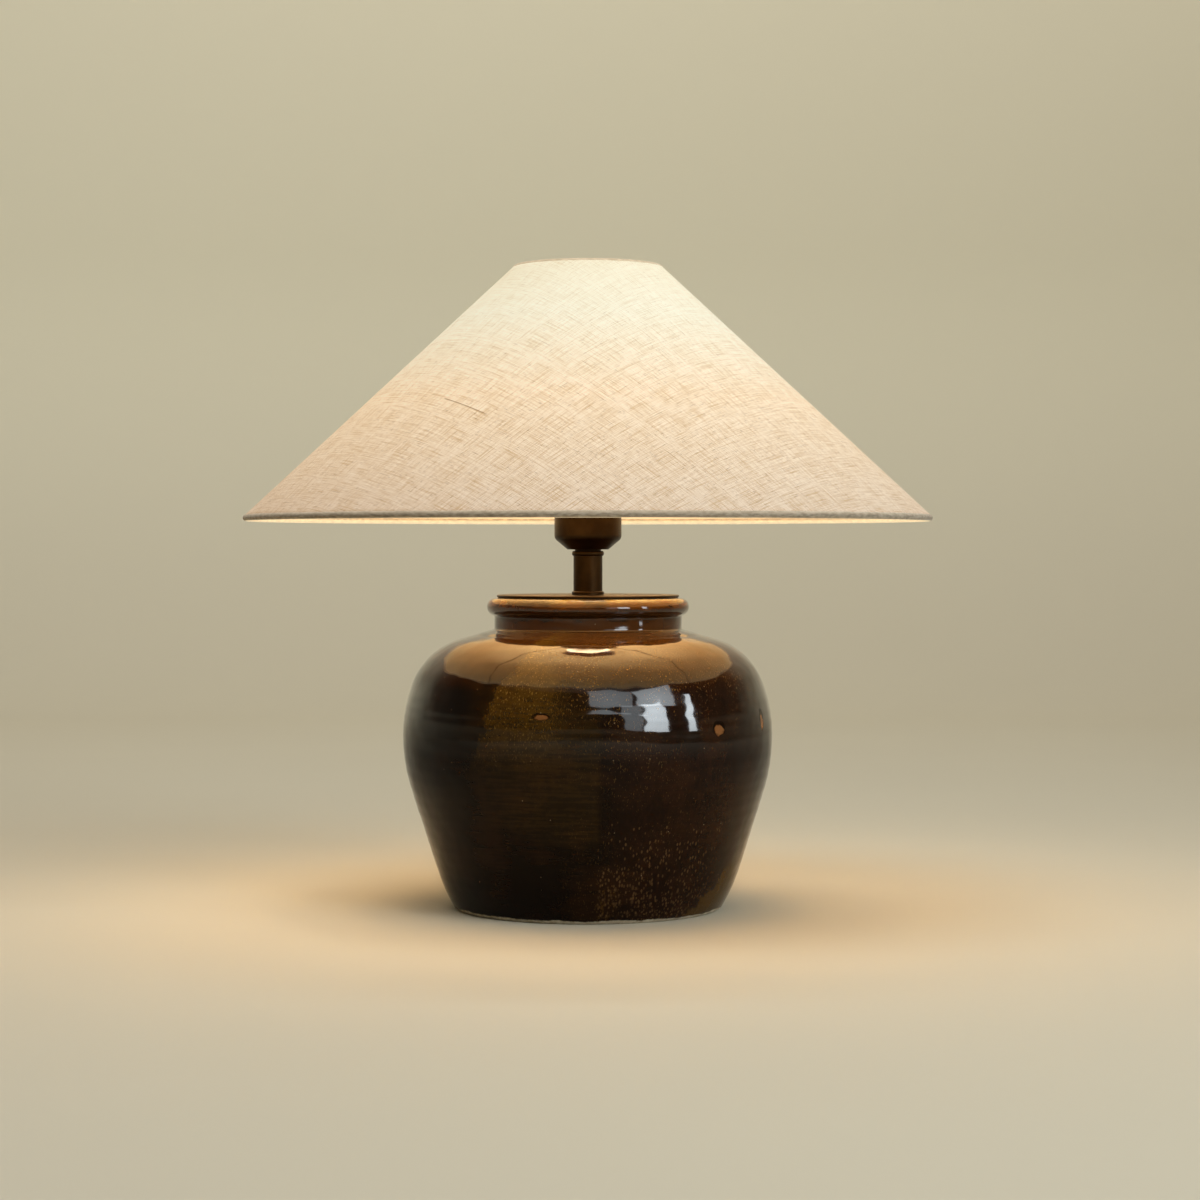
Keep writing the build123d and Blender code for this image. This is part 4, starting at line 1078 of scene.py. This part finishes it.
spun(stage_shape, stage_verts, stage_edges, STAGE_STEPS, merge=1e-5)
stage_shift = (0, STAGE_BACK - STAGE_RADIUS, 0)
bmesh.ops.translate(stage_shape, verts=stage_shape.verts, vec=stage_shift)
bmesh.ops.recalc_face_normals(stage_shape, faces=stage_shape.faces)
stage = placed_mesh(stage_shape, "stage")
paper, spot = new_finish("stage_paper")
paper_rise = along(spot, UP)
wall_round = tint(between(paper_rise, *WALL_DARKENS), WALL_LOW, WALL_HIGH)
wall_colour = tint(between(along(spot, BACK), *WALL_PALES), wall_round, WALL_BEHIND)
floor_colour = tint(grain(spot, FLOOR_CLOUD_SIZE, 2), FLOOR_PALE, FLOOR_SOFT)
paper_colour = tint(between(paper_rise, 0.0, STAGE_SWEEP), floor_colour, wall_colour)
lay_on(paper, Base_Color=paper_colour, Roughness=0.95)
stage.data.materials.append(paper)


def soft_lamp(name, bearing, distance, height, aim, size, watts, colour, spread=pi):
    """A rectangular softbox at a bearing from the front, turned to a point."""
    data = bpy.data.lights.new(name, "AREA")
    data.shape = "RECTANGLE"
    data.size, data.size_y = size
    data.energy = watts
    data.color = colour
    data.spread = spread
    lamp = bpy.data.objects.new(name, data)
    lamp.location = (distance * sin(bearing), -distance * cos(bearing), height)
    lamp.rotation_euler = (Vector(aim) - lamp.location).to_track_quat("-Z", "Y").to_euler()
    lamp.visible_camera = False
    bpy.context.scene.collection.objects.link(lamp)


LAMP_MIDDLE = (0, 0, 0.20)
SHADE_MIDDLE = (0, 0, 0.30)
WALL_MIDDLE = (0, STAGE_BACK, 0.9)
FLOOR_IN_FRONT = (0, -3.2, 0)
DAYLIGHT = (1.0, 0.96, 0.90)
COOL_DAYLIGHT = (0.86, 0.95, 1.0)
BOX_SPREAD = radians(100)
BOX_DISTANCE = 2.6
LOW_BOX = 0.85
HIGH_BOX = 1.70
for name, bearing, height, size, watts in (
    ("window_pane", radians(41), LOW_BOX, (0.62, 1.05), 5.8),
    ("window_strip", radians(67), LOW_BOX, (0.26, 1.15), 2.65),
    ("window_top", radians(46), HIGH_BOX, (1.3, 0.9), 4.45),
    ("window_side", radians(27), LOW_BOX, (0.55, 0.9), 0.72),
    ("sky_box", radians(14), HIGH_BOX, (1.4, 0.9), 2.25),
):
    where = (bearing, BOX_DISTANCE, height, LAMP_MIDDLE)
    soft_lamp(name, *where, size, watts, COOL_DAYLIGHT, BOX_SPREAD)
soft_lamp("top_box", radians(-50), 0.9, 2.7, SHADE_MIDDLE, (1.6, 1.6), 28, DAYLIGHT)
soft_lamp("wall_box", pi, 1.5, 3.2, WALL_MIDDLE, (2.4, 0.6), 36, DAYLIGHT)
soft_lamp("floor_box", 0, 3.2, 3.3, FLOOR_IN_FRONT, (3.0, 2.0), 16, DAYLIGHT, BOX_SPREAD)

ROOM_LIGHT = (0.92, 0.90, 0.84, 1)
ROOM_STRENGTH = 0.14
world = bpy.data.worlds.new("room")
world.use_nodes = True
background = world.node_tree.nodes["Background"]
background.inputs["Color"].default_value = ROOM_LIGHT
background.inputs["Strength"].default_value = ROOM_STRENGTH
bpy.context.scene.world = world

EYE_DISTANCE = 1.95
EYE_HEIGHT = 0.2618
EYE_ASIDE = 0.0088
EYE_PITCH = radians(1.1017)
LENS = 80.08
SENSOR = 36.0
eye_data = bpy.data.cameras.new("eye")
eye_data.lens = LENS
eye_data.sensor_width = SENSOR
eye = bpy.data.objects.new("eye", eye_data)
eye.location = (EYE_ASIDE, -EYE_DISTANCE, EYE_HEIGHT)
eye.rotation_euler = (pi / 2 - EYE_PITCH, 0, 0)
bpy.context.scene.collection.objects.link(eye)
bpy.context.scene.camera = eye
bpy.context.scene.view_settings.view_transform = "Standard"
